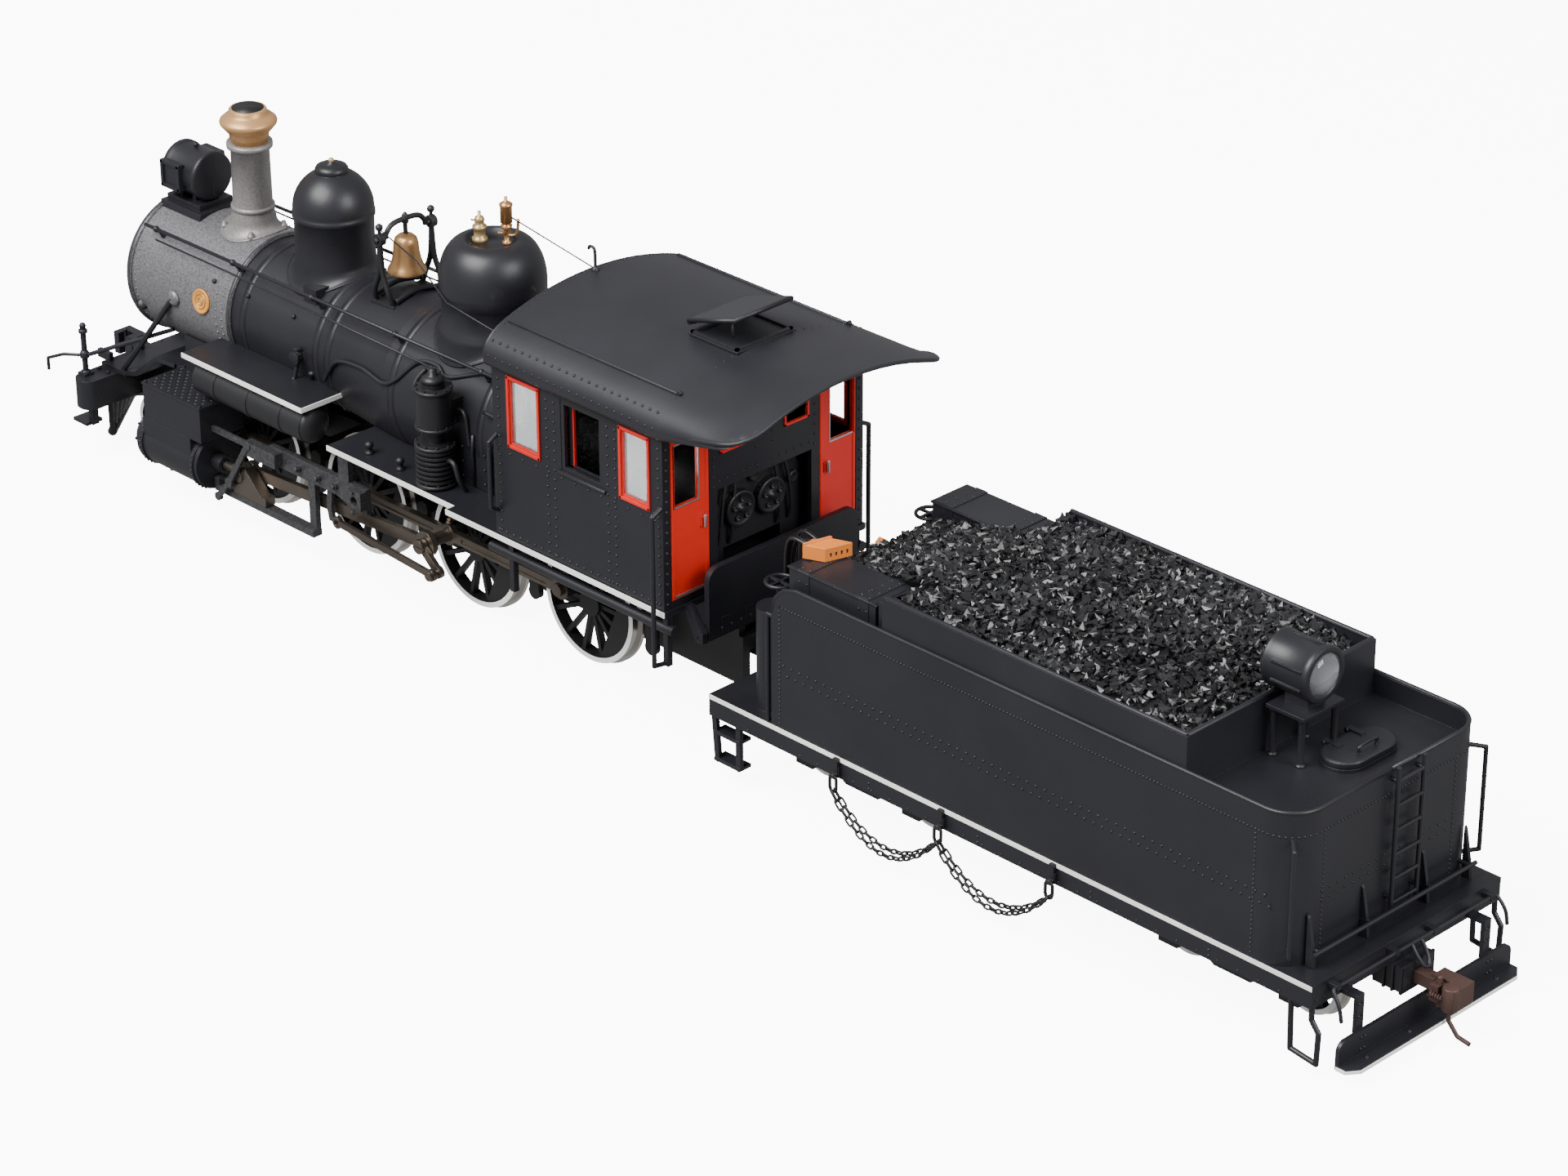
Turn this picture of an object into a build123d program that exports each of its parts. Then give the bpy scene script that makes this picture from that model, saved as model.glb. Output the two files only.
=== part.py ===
from build123d import *
import os
from math import cos, pi, radians, sin, sqrt

os.makedirs("parts", exist_ok=True)

# ---------------------------------------------------------------- driving dimensions (mm)
# +X is forward, +Y is the left side, +Z is up, and z = 0 is the lowest edge of the wheel flanges.
WHEEL_IN, WHEEL_OUT = 7.25, 10.05        # back and front face of every wheel, measured from the centre line
FLANGE_WIDTH = 0.85
DRIVER_AXLES = [119.0, 87.0, 55.0, 23.0]  # front to rear; the third one is driven
MAIN_AXLE = DRIVER_AXLES[2]
DRIVER_FLANGE, DRIVER_TREAD, TYRE_IN = 12.6, 11.95, 10.9
AXLE_Z = DRIVER_FLANGE
AXLE_R, BEARING_R = 1.5, 1.55
CRANK_R = 5.6
CRANK_ANGLE = {1: 22.0, -1: -68.0}       # degrees above forward, left and right side a quarter turn apart
PIN_R, EYE_R = 0.8, 0.84
SIDE_ROD_Y = (11.3, 12.7)
MAIN_ROD_Y = (17.2, 18.4)
RETURN_CRANK_Y = (18.6, 19.6)
ECCENTRIC_ROD_Y = (20.4, 21.3)
MAIN_ROD_LENGTH = 52.8
RETURN_PIN = (0.52, -1.93)               # x and z from the axle centre, radius 2
CYLINDER_Y, CYLINDER_Z, CYLINDER_R = 19.8, 12.0, 5.7
CYLINDER_X = (121.0, 140.0)
FRAME_Y = (4.2, 5.8)
FRAME_Z = (7.5, 17.5)
FRAME_X = (-14.0, 132.5)
BEAM_X, BEAM_Z, BEAM_HALF = (159.0, 164.5), (11.1, 17.4), 23.0
PILOT_AXLE_X, PILOT_PIVOT_X = 153.5, 144.0
PILOT_FLANGE, PILOT_TREAD = 6.45, 5.8
BOILER_Z = 39.9
SMOKEBOX_R, BARREL_R, FIREBOX_R = 14.28, 13.9, 15.5
SMOKEBOX_X, BARREL_X, TAPER_X, CAB_FRONT = (122.0, 154.2), 95.0, 75.0, 31.0
FIREBOX_HALF, FIREBOX_END = 15.3, 62.0
CAB_REAR, CAB_HALF, CAB_FLOOR, CAB_EAVE = -14.0, 25.3, 30.0, 64.9
ROOF_R, ROOF_CROWN, ROOF_T, ROOF_HALF = 65.0, 75.2, 0.8, 25.2
ROOF_X = (-34.9, 31.5)
BACKHEAD_X = -10.5
WORM_Z, WORM_R = 24.6, 2.0
DRAWBAR_PIN, TENDER_PIN, DRAWBAR_Z = -12.0, -32.0, (12.3, 13.7)
DECK_X, DECK_Z, DECK_HALF = (-164.4, -24.5), (15.6, 17.2), 24.5
TANK_X, TANK_TOP = (-159.3, -40.5), 45.6
BUNKER_X, BUNKER_TOP, BUNKER_HALF = (-135.8, -67.0), 51.8, 24.0
TRUCK_X, TRUCK_HALF_BASE = [-52.5, -139.0], 13.2
TRUCK_FLANGE, TRUCK_TREAD = 7.05, 6.4
COUPLER_PIVOT_X = -163.5
CHAIN_X, CHAIN_SAG = [-57.0, -82.3, -108.2], 4.5
BELL_X, BELL_PIVOT_Z = 84.0, 67.0
FALL_HINGE = (-18.0, 24.3)
CORD_DIA = 0.8
CORD_ROUTE = [(-40.5, 12.0, 26.0), (-35.4, 12.0, 26.0), (-35.0, 13.0, 34.5), (-35.4, 14.2, 43.5),
              (-37.3, 15.0, 50.2), (-41.7, 15.0, 50.2)]
ROOF_CENTRE = ROOF_CROWN - ROOF_R


# ---------------------------------------------------------------- shapes used by many pieces
def block(x, y, z, mode=Mode.ADD):
    """Box between two corner values on each axis."""
    with Locations(((x[0] + x[1]) / 2, (y[0] + y[1]) / 2, (z[0] + z[1]) / 2)):
        Box(abs(x[1] - x[0]), abs(y[1] - y[0]), abs(z[1] - z[0]), mode=mode)


def both_sides(x, y, z, mode=Mode.ADD):
    """The same box on the left and on the right."""
    for side in (1, -1):
        block(x, (side * y[0], side * y[1]), z, mode)


def disc_x(x, y, z, radius, mode=Mode.ADD):
    """Cylinder along X; x holds both ends."""
    with Locations(Location(((x[0] + x[1]) / 2, y, z), (0, 90, 0))):
        Cylinder(radius, abs(x[1] - x[0]), mode=mode)


def disc_y(x, y, z, radius, mode=Mode.ADD):
    """Cylinder along Y; y holds both ends."""
    with Locations(Location((x, (y[0] + y[1]) / 2, z), (90, 0, 0))):
        Cylinder(radius, abs(y[1] - y[0]), mode=mode)


def disc_z(x, y, z, radius, mode=Mode.ADD):
    """Cylinder along Z; z holds both ends."""
    with Locations((x, y, (z[0] + z[1]) / 2)):
        Cylinder(radius, abs(z[1] - z[0]), mode=mode)


def rod(start, end, radius):
    """Round bar from one point to another."""
    run = Vector(*end) - Vector(*start)
    with BuildSketch(Plane(origin=start, z_dir=run)) as section:
        Circle(radius)
    extrude(section.sketch, amount=run.length)


def bent_wire(points, radius):
    """Round wire through the points, with a ball at each bend."""
    for start, end in zip(points, points[1:]):
        rod(start, end, radius)
    for bend in points[1:-1]:
        with Locations(bend):
            Sphere(radius)


def side_plane(y):
    """Plane across Y, with local x forward and local y up; extruding runs towards -Y."""
    return Plane(origin=(0, y, 0), x_dir=(1, 0, 0), z_dir=(0, -1, 0))


def side_plate(outline, y, mode=Mode.ADD):
    """Plate cut to (x, z) points, filling the span y."""
    with BuildSketch(side_plane(max(y))) as section:
        with BuildLine():
            Polyline(*outline, close=True)
        make_face()
    extrude(section.sketch, amount=abs(y[1] - y[0]), mode=mode)


def cross_plate(outline, x, mode=Mode.ADD):
    """Plate cut to (y, z) points, filling the span x."""
    with BuildSketch(Plane.YZ.offset(min(x))) as section:
        with BuildLine():
            Polyline(*outline, close=True)
        make_face()
    extrude(section.sketch, amount=abs(x[1] - x[0]), mode=mode)


def floor_plate(outline, z, mode=Mode.ADD):
    """Plate cut to (x, y) points, filling the span z."""
    with BuildSketch(Plane.XY.offset(min(z))) as section:
        with BuildLine():
            Polyline(*outline, close=True)
        make_face()
    extrude(section.sketch, amount=abs(z[1] - z[0]), mode=mode)


def turned_upright(x, y, outline, mode=Mode.ADD):
    """Body turned about an upright axis; the outline is (radius, z) points from axis to axis."""
    with BuildSketch(Plane.XZ.offset(-y)) as section:
        with BuildLine():
            Polyline(*[(x + radius, z) for radius, z in outline], close=True)
        make_face()
    revolve(section.sketch, axis=Axis((x, y, 0), (0, 0, 1)), mode=mode)


def turned_on_boiler(outline, mode=Mode.ADD):
    """Body turned about the boiler axis; the outline is (x, radius) points."""
    with BuildSketch(Plane.XZ) as section:
        with BuildLine():
            Polyline(*[(x, BOILER_Z + radius) for x, radius in outline], close=True)
        make_face()
    revolve(section.sketch, axis=Axis((0, 0, BOILER_Z), (1, 0, 0)), mode=mode)


def clear_boiler(extra=0.0):
    """Cut away what would stand inside the boiler and the smokebox."""
    turned_on_boiler([(CAB_FRONT, 0), (CAB_FRONT, FIREBOX_R + extra), (TAPER_X, FIREBOX_R + extra),
                      (BARREL_X, BARREL_R + extra), (SMOKEBOX_X[0], BARREL_R + extra),
                      (SMOKEBOX_X[0], SMOKEBOX_R + extra), (SMOKEBOX_X[1], SMOKEBOX_R + extra),
                      (SMOKEBOX_X[1], 0)], Mode.SUBTRACT)


def round_bar(start, end, y, half, eye, bore=0.0):
    """Flat rod in a side plane, with a round eye at each end; start and end are (x, z)."""
    run = Vector(end[0] - start[0], end[1] - start[1])
    tilt = run.get_signed_angle(Vector(1, 0), Vector(0, 0, -1))
    with BuildSketch(side_plane(max(y))) as section:
        with Locations(Location(((start[0] + end[0]) / 2, (start[1] + end[1]) / 2, 0), (0, 0, tilt))):
            Rectangle(run.length, 2 * half)
        with Locations(start, end):
            Circle(eye)
        if bore:
            with Locations(start, end):
                Circle(bore, mode=Mode.SUBTRACT)
    extrude(section.sketch, amount=abs(y[1] - y[0]))


def wheel(x, z, side, flange, tread, rim_in, spokes, hub, spoke_width):
    """Spoked wheel with a flange on its inner edge, standing on one side of the centre line."""
    disc_y(x, (side * WHEEL_IN, side * (WHEEL_IN + FLANGE_WIDTH)), z, flange)
    disc_y(x, (side * (WHEEL_IN + FLANGE_WIDTH), side * WHEEL_OUT), z, tread)
    disc_y(x, (side * (WHEEL_IN - 0.1), side * (WHEEL_OUT + 0.1)), z, rim_in, Mode.SUBTRACT)
    disc_y(x, (side * WHEEL_IN, side * WHEEL_OUT), z, hub)
    spoke_y = (side * (WHEEL_IN + 0.8), side * (WHEEL_OUT - 0.6))
    with BuildSketch(side_plane(max(spoke_y))) as section:
        with Locations((x, z)):
            with PolarLocations((rim_in + hub) / 2, spokes):
                Rectangle(rim_in - hub + 0.8, spoke_width)
    extrude(section.sketch, amount=abs(spoke_y[1] - spoke_y[0]))


def crank_point(x, side):
    """Centre of a crank pin as (x, z)."""
    angle = radians(CRANK_ANGLE[side])
    return (x + CRANK_R * cos(angle), AXLE_Z + CRANK_R * sin(angle))


def roof_height(y, radius=ROOF_R):
    """Height of the roof arc at a distance from the centre line."""
    return ROOF_CENTRE + sqrt(radius * radius - y * y)


# ---------------------------------------------------------------- driving wheels
for number, axle_x in enumerate(DRIVER_AXLES, 1):
    is_main = axle_x == MAIN_AXLE
    with BuildPart() as driver_wheels:
        for side in (1, -1):
            wheel(axle_x, AXLE_Z, side, DRIVER_FLANGE, DRIVER_TREAD, TYRE_IN, 14, 2.6, 0.9)
            pin_x, pin_z = crank_point(axle_x, side)
            weight_y = (side * (WHEEL_IN + 0.7), side * (WHEEL_OUT - 0.4))
            with BuildSketch(side_plane(max(weight_y))) as weight:
                with Locations((axle_x, AXLE_Z)):
                    Circle(TYRE_IN + 0.05)
                    with Locations(Location((0, 0, 0), (0, 0, CRANK_ANGLE[side] + 180))):
                        with Locations((10.2, 0)):
                            Rectangle(8.0, 24.0, mode=Mode.INTERSECT)
            extrude(weight.sketch, amount=abs(weight_y[1] - weight_y[0]))
            disc_y(pin_x, (side * 8.0, side * 10.9), pin_z, 2.0)
            disc_y(pin_x, (side * 10.9, side * 13.5), pin_z, PIN_R)
            disc_y(pin_x, (side * 12.75, side * 13.6), pin_z, 1.3)
            if is_main:
                disc_y(pin_x, (side * 13.6, side * 17.15), pin_z, 1.3)
                disc_y(pin_x, (side * 17.15, side * 18.6), pin_z, PIN_R)
                end = (axle_x + RETURN_PIN[0], AXLE_Z + RETURN_PIN[1])
                if side == -1:
                    end = (axle_x + RETURN_PIN[1], AXLE_Z - RETURN_PIN[0])
                arm_y = (side * RETURN_CRANK_Y[0], side * RETURN_CRANK_Y[1])
                round_bar((pin_x, pin_z), end, arm_y, 0.9, 1.25)
                disc_y(pin_x, (side * 19.6, side * 20.2), pin_z, 1.5)
                block((pin_x - 1.6, pin_x + 1.6), (side * 19.9, side * 20.3), (pin_z - 0.2, pin_z + 0.2),
                      Mode.SUBTRACT)
                disc_y(end[0], (side * 19.6, side * 21.5), end[1], 0.6)
                disc_y(end[0], (side * 21.35, side * 21.9), end[1], 1.0)
        disc_y(axle_x, (-WHEEL_IN, WHEEL_IN), AXLE_Z, AXLE_R)
        if is_main:
            with BuildSketch(side_plane(1.5)) as gear:
                with Locations((axle_x, AXLE_Z)):
                    Circle(8.8)
                    with PolarLocations(9.3, 36):
                        Rectangle(1.2, 0.75)
            extrude(gear.sketch, amount=3.0)
    driver_wheels.part.label = f"driver_wheels_{number}"
    export_step(driver_wheels.part, f"parts/driver_wheels_{number}.step")

# ---------------------------------------------------------------- rods and crossheads
for side, hand in ((1, "left"), (-1, "right")):
    pins = [crank_point(axle_x, side) for axle_x in DRIVER_AXLES]
    rod_y = (side * SIDE_ROD_Y[0], side * SIDE_ROD_Y[1])
    with BuildPart() as side_rod:
        with BuildSketch(side_plane(max(rod_y))) as section:
            for front, rear in zip(pins, pins[1:]):
                with Locations(((front[0] + rear[0]) / 2, front[1])):
                    Rectangle(abs(front[0] - rear[0]), 2.1)
            for x, z in pins:
                with Locations((x, z)):
                    Circle(2.15)
            for x, z in pins:
                with Locations((x, z)):
                    Circle(EYE_R, mode=Mode.SUBTRACT)
        extrude(section.sketch, amount=abs(rod_y[1] - rod_y[0]))
        for front, rear in zip(pins, pins[1:]):
            block((rear[0] + 4.0, front[0] - 4.0), (side * 12.45, side * 12.8),
                  (front[1] - 0.45, front[1] + 0.45), Mode.SUBTRACT)
    side_rod.part.label = f"side_rod_{hand}"
    export_step(side_rod.part, f"parts/side_rod_{hand}.step")

    reach = sqrt(MAIN_ROD_LENGTH ** 2 - (pins[2][1] - CYLINDER_Z) ** 2)
    wrist = (pins[2][0] + reach, CYLINDER_Z)
    with BuildPart() as main_rod:
        round_bar(pins[2], wrist, (side * MAIN_ROD_Y[0], side * MAIN_ROD_Y[1]), 1.25, 2.1, EYE_R)
        disc_y(pins[2][0], (side * MAIN_ROD_Y[0], side * MAIN_ROD_Y[1]), pins[2][1], 2.6)
        disc_y(pins[2][0], (side * 17.0, side * 18.6), pins[2][1], EYE_R, Mode.SUBTRACT)
    main_rod.part.label = f"main_rod_{hand}"
    export_step(main_rod.part, f"parts/main_rod_{hand}.step")

    end = (MAIN_AXLE + RETURN_PIN[0], AXLE_Z + RETURN_PIN[1])
    if side == -1:
        end = (MAIN_AXLE + RETURN_PIN[1], AXLE_Z - RETURN_PIN[0])
    with BuildPart() as eccentric_rod:
        round_bar(end, (end[0] + 27.5, 12.2), (side * ECCENTRIC_ROD_Y[0], side * ECCENTRIC_ROD_Y[1]),
                  0.65, 1.25, 0.64)
    eccentric_rod.part.label = f"eccentric_rod_{hand}"
    export_step(eccentric_rod.part, f"parts/eccentric_rod_{hand}.step")

    with BuildPart() as crosshead:
        low, high = wrist[0] - 8.0, wrist[0] + 2.0
        block((low, high), (side * 18.8, side * 21.2), (7.75, 9.6))
        side_plate([(low + 1.5, 9.6), (high, 9.6), (high, 14.0), (high - 4, 14.0)],
                   (side * 18.8, side * 21.2))
        disc_x((high - 0.5, high + 15.5), side * CYLINDER_Y, CYLINDER_Z, 0.9)
        disc_y(wrist[0], (side * 21.2, side * 21.6), wrist[1], 1.2)
    crosshead.part.label = f"crosshead_{hand}"
    export_step(crosshead.part, f"parts/crosshead_{hand}.step")

# ---------------------------------------------------------------- frame
with BuildPart() as loco_frame:
    both_sides(FRAME_X, FRAME_Y, FRAME_Z)
    for front, rear in ((-8.0, -14.0), (40.5, 37.0), (73.0, 69.5), (105.0, 101.0), (132.5, 128.5)):
        block((rear, front), (-FRAME_Y[0], FRAME_Y[0]), (9.0, 17.5))
    for axle_x in DRIVER_AXLES:
        disc_y(axle_x, (-7, 7), AXLE_Z, BEARING_R, Mode.SUBTRACT)
    block((-15, -7.5), (-4.0, 4.0), (8.0, 14.4), Mode.SUBTRACT)
    disc_z(DRAWBAR_PIN, 0, (11.6, 14.6), 1.0)
    for hanger_x in (6.8, 39.0, 71.0, 103.0):
        for side in (1, -1):
            block((hanger_x - 1.0, hanger_x + 1.0), (side * FRAME_Y[1], side * 9.6), (14.4, 16.4))
            round_bar((hanger_x, 9.0), (hanger_x, 15.4), (side * 8.4, side * 9.6), 1.3, 1.5)
    block((65.2, 67.2), (-FRAME_Y[1], FRAME_Y[1]), (14.0, 20.0))
    block((65.2, 67.2), (-3.0, 3.0), (20.0, 27.2))
    disc_x((65.0, 67.4), 0, WORM_Z, 0.8, Mode.SUBTRACT)
    for post_x in (46.5, 78.0):
        both_sides((post_x - 1.5, post_x + 1.5), FRAME_Y, (17.5, 28.0))
    both_sides((-13.0, 9.5), FRAME_Y, (17.5, 28.8))
loco_frame.part.label = "loco_frame"
export_step(loco_frame.part, "parts/loco_frame.step")

with BuildPart() as drive_motor:
    disc_x((10.0, 44.0), 0, WORM_Z, 6.6)
    block((14.0, 40.0), (-FRAME_Y[1], FRAME_Y[1]), (17.5, 21.0))
    disc_x((44.0, 44.8), 0, WORM_Z, 2.6)
    disc_x((40.0, 45.0), 0, WORM_Z, 0.85, Mode.SUBTRACT)
drive_motor.part.label = "drive_motor"
export_step(drive_motor.part, "parts/drive_motor.step")

with BuildPart() as worm_shaft:
    disc_x((41.0, 67.0), 0, WORM_Z, 0.75)
    disc_x((47.0, 63.0), 0, WORM_Z, 1.4)
    for turn in range(9):
        disc_x((47.6 + 1.75 * turn, 48.4 + 1.75 * turn), 0, WORM_Z, WORM_R)
worm_shaft.part.label = "worm_shaft"
export_step(worm_shaft.part, "parts/worm_shaft.step")

# ---------------------------------------------------------------- boiler
with BuildPart() as smokebox:
    turned_on_boiler([(SMOKEBOX_X[0], SMOKEBOX_R - 1), (SMOKEBOX_X[0], SMOKEBOX_R),
                      (SMOKEBOX_X[1] - 1.2, SMOKEBOX_R), (SMOKEBOX_X[1] - 1.2, SMOKEBOX_R + 0.4),
                      (SMOKEBOX_X[1], SMOKEBOX_R + 0.4), (SMOKEBOX_X[1], SMOKEBOX_R - 1)])
smokebox.part.label = "smokebox"
export_step(smokebox.part, "parts/smokebox.step")

with BuildPart() as smokebox_door:
    turned_on_boiler([(SMOKEBOX_X[1], 0), (SMOKEBOX_X[1], 14.0), (SMOKEBOX_X[1] + 0.9, 14.0),
                      (SMOKEBOX_X[1] + 0.9, 10.5), (SMOKEBOX_X[1] + 1.6, 10.3),
                      (SMOKEBOX_X[1] + 2.6, 0)])
    for step in range(12):
        angle = 2 * pi * step / 12
        y, z = 12.2 * cos(angle), BOILER_Z + 12.2 * sin(angle)
        disc_x((SMOKEBOX_X[1] + 0.9, SMOKEBOX_X[1] + 1.6), y, z, 0.6)
smokebox_door.part.label = "smokebox_door"
export_step(smokebox_door.part, "parts/smokebox_door.step")

with BuildPart() as boiler_shell:
    with BuildSketch(Plane.YZ.offset(CAB_FRONT)) as firebox_section:
        with Locations((0, BOILER_Z)):
            Circle(FIREBOX_R)
        with Locations((0, 33.4)):
            Rectangle(2 * FIREBOX_HALF, 9.2)
        with Locations((0, BOILER_Z)):
            Circle(FIREBOX_R - 1, mode=Mode.SUBTRACT)
        with Locations((0, 33.0)):
            Rectangle(2 * FIREBOX_HALF - 2, 10.0, mode=Mode.SUBTRACT)
        with Locations((0, 26.0)):
            Rectangle(2 * FIREBOX_HALF + 4, 5.6, mode=Mode.SUBTRACT)
    extrude(firebox_section.sketch, amount=FIREBOX_END - CAB_FRONT)
    turned_on_boiler([(FIREBOX_END, FIREBOX_R - 1), (FIREBOX_END, FIREBOX_R), (TAPER_X, FIREBOX_R),
                      (BARREL_X, BARREL_R), (SMOKEBOX_X[0], BARREL_R), (SMOKEBOX_X[0], BARREL_R - 1),
                      (BARREL_X, BARREL_R - 1), (TAPER_X, FIREBOX_R - 1)])
    block((FIREBOX_END, 84.0), (-7.2, 7.2), (20.0, 33.0), Mode.SUBTRACT)
boiler_shell.part.label = "boiler_shell"
export_step(boiler_shell.part, "parts/boiler_shell.step")

STACK_X = 130.7
with BuildPart() as smokestack:
    turned_upright(STACK_X, 0, [(0, 48), (6.4, 48), (6.4, 54.4), (4.9, 56.0), (3.95, 58.0), (3.83, 71.0),
                                (4.6, 71.0), (4.6, 72.0), (0, 72.0)])
    for lug_x, lug_y in ((4.6, 4.6), (-4.6, 4.6), (4.6, -4.6), (-4.6, -4.6)):
        disc_z(STACK_X + lug_x, lug_y, (48.0, 54.6), 1.0)
    clear_boiler()
smokestack.part.label = "smokestack"
export_step(smokestack.part, "parts/smokestack.step")

with BuildPart() as stack_cap:
    turned_upright(STACK_X, 0, [(0, 72.0), (3.95, 72.0), (3.95, 73.6), (5.0, 75.0), (5.96, 76.4), (5.7, 77.2),
                                (4.4, 78.1), (4.13, 79.0), (3.16, 79.0), (3.16, 76.0), (0, 76.0)])
stack_cap.part.label = "stack_cap"
export_step(stack_cap.part, "parts/stack_cap.step")

LAMP_Z = 60.8
with BuildPart() as front_headlight:
    disc_x((143.0, 153.0), 0, LAMP_Z, 5.1)
    disc_x((152.0, 153.2), 0, LAMP_Z, 4.5, Mode.SUBTRACT)
    block((147.0, 152.0), (4.0, 6.0), (LAMP_Z - 2.6, LAMP_Z + 2.6))
    block((147.0, 152.0), (-6.0, -4.0), (LAMP_Z - 2.6, LAMP_Z + 2.6))
    block((144.0, 152.0), (-3.4, 3.4), (54.0, 56.0))
    clear_boiler()
    both_sides((145.0, 151.0), (1.6, 3.0), (55.5, 57.5))
front_headlight.part.label = "front_headlight"
export_step(front_headlight.part, "parts/front_headlight.step")

SAND_X, STEAM_X = 105.5, 59.0
with BuildPart() as sand_dome:
    turned_upright(SAND_X, 0, [(0, 46), (9.4, 46), (9.4, 51.0), (8.5, 52.2), (7.8, 54.5), (7.8, 64.2),
                               (8.3, 64.6), (8.3, 66.4)]
                   + [(8.3 * cos(radians(a)), 66.4 + 8.3 * sin(radians(a))) for a in range(15, 91, 15)])
    clear_boiler()
sand_dome.part.label = "sand_dome"
export_step(sand_dome.part, "parts/sand_dome.step")

with BuildPart() as steam_dome:
    turned_upright(STEAM_X, 0, [(0, 46), (11.4, 46), (11.4, 51.0), (10.2, 53.0), (9.6, 57.0), (9.6, 61.5),
                                (10.3, 62.5), (10.3, 65.0), (9.4, 68.8), (7.4, 71.6), (5.6, 73.0),
                                (5.0, 73.0), (5.0, 72.2), (0, 72.2)])
    clear_boiler()
steam_dome.part.label = "steam_dome"
export_step(steam_dome.part, "parts/steam_dome.step")

with BuildPart() as steam_fittings:
    turned_upright(60.9, 0, [(0, 72.2), (1.5, 72.2), (1.5, 73.4), (1.0, 73.6), (1.0, 75.4), (0.5, 76.0),
                             (0.5, 77.4), (0, 77.4)])
    turned_upright(56.2, 0, [(0, 72.2), (1.2, 72.2), (0.6, 73.2), (0.6, 75.4), (1.1, 75.8), (1.1, 80.8),
                             (0.4, 82.0), (0, 82.0)])
steam_fittings.part.label = "steam_fittings"
export_step(steam_fittings.part, "parts/steam_fittings.step")

# ---------------------------------------------------------------- bell
with BuildPart() as bell_stand:
    for side in (1, -1):
        side_plate([(BELL_X - 3.2, 50.0), (BELL_X + 3.2, 50.0), (BELL_X + 1.3, 60.0),
                    (BELL_X + 1.3, 68.2), (BELL_X - 1.3, 68.2), (BELL_X - 1.3, 60.0)],
                   (side * 5.8, side * 7.2))
    block((BELL_X - 3.2, BELL_X + 3.2), (-7.2, 7.2), (50.0, 55.6))
    disc_y(BELL_X, (-8, 8), BELL_PIVOT_Z, 0.65, Mode.SUBTRACT)
    clear_boiler()
bell_stand.part.label = "bell_stand"
export_step(bell_stand.part, "parts/bell_stand.step")

with BuildPart() as bell:
    turned_upright(BELL_X, 0, [(0, 66.2), (1.6, 66.2), (2.4, 65.4), (2.7, 62.5), (3.0, 60.4), (3.85, 58.8),
                               (3.4, 58.8), (2.4, 61.0), (0, 62.4)])
    disc_y(BELL_X, (-5.4, 5.4), BELL_PIVOT_Z, 1.0)
    disc_y(BELL_X, (-7.2, 7.2), BELL_PIVOT_Z, 0.6)
    disc_z(BELL_X, 0, (58.4, 63.0), 0.7)
bell.part.label = "bell"
export_step(bell.part, "parts/bell.step")

# ---------------------------------------------------------------- boiler outside fittings
with BuildPart() as handrails:
    for side in (1, -1):
        front, rear = (150.0, side * 12.0, 51.9), (41.0, side * 13.2, 53.2)
        rod(rear, front, 0.4)
        for post_x in (147.0, 122.5, 98.0, 73.0, 48.0):
            share = (post_x - rear[0]) / (front[0] - rear[0])
            tip = (post_x, rear[1] + share * (front[1] - rear[1]), rear[2] + share * (front[2] - rear[2]))
            rod((post_x, side * 8.5, BOILER_Z + 8.5), tip, 0.55)
            with Locations(tip):
                Sphere(0.7)
    clear_boiler()
handrails.part.label = "handrails"
export_step(handrails.part, "parts/handrails.step")

with BuildPart() as boiler_piping:
    for side in (1, -1):
        bent_wire([(110.0, side * 14.9, 42.5), (97.0, side * 14.9, 46.0), (90.0, side * 15.4, 43.0),
                   (78.0, side * 16.2, 46.0), (66.0, side * 16.6, 42.5), (60.0, side * 16.6, 45.0)], 0.55)
        disc_y(111.0, (side * 12.0, side * 16.0), 42.5, 1.2)
        disc_z(111.0, side * 15.2, (42.0, 46.0), 0.9)
    clear_boiler()
boiler_piping.part.label = "boiler_piping"
export_step(boiler_piping.part, "parts/boiler_piping.step")

with BuildPart() as running_boards:
    both_sides((-14.4, 45.0), (15.5, 25.6), (28.8, CAB_FLOOR))
    both_sides((-14.4, 8.0), (0.0, 15.5), (28.8, CAB_FLOOR))
    both_sides((8.0, 31.0), (7.2, 15.5), (28.8, CAB_FLOOR))
    both_sides((45.0, 62.0), (15.5, 23.5), (28.8, CAB_FLOOR))
    both_sides((62.0, 82.0), (11.0, 23.5), (28.8, CAB_FLOOR))
    both_sides((89.3, 126.0), (11.0, 23.5), (34.3, 35.3))
    clear_boiler()
    for side in (1, -1):
        side_plate([(-18.9, 23.4), (-17.1, 23.4), (-14.4, 28.8), (-14.4, 30.0), (-15.6, 30.0),
                    (-18.9, 25.4)], (side * 19.2, side * 20.6))
        disc_y(FALL_HINGE[0], (side * 19.0, side * 20.8), FALL_HINGE[1], 0.5, Mode.SUBTRACT)
running_boards.part.label = "running_boards"
export_step(running_boards.part, "parts/running_boards.step")

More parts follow.
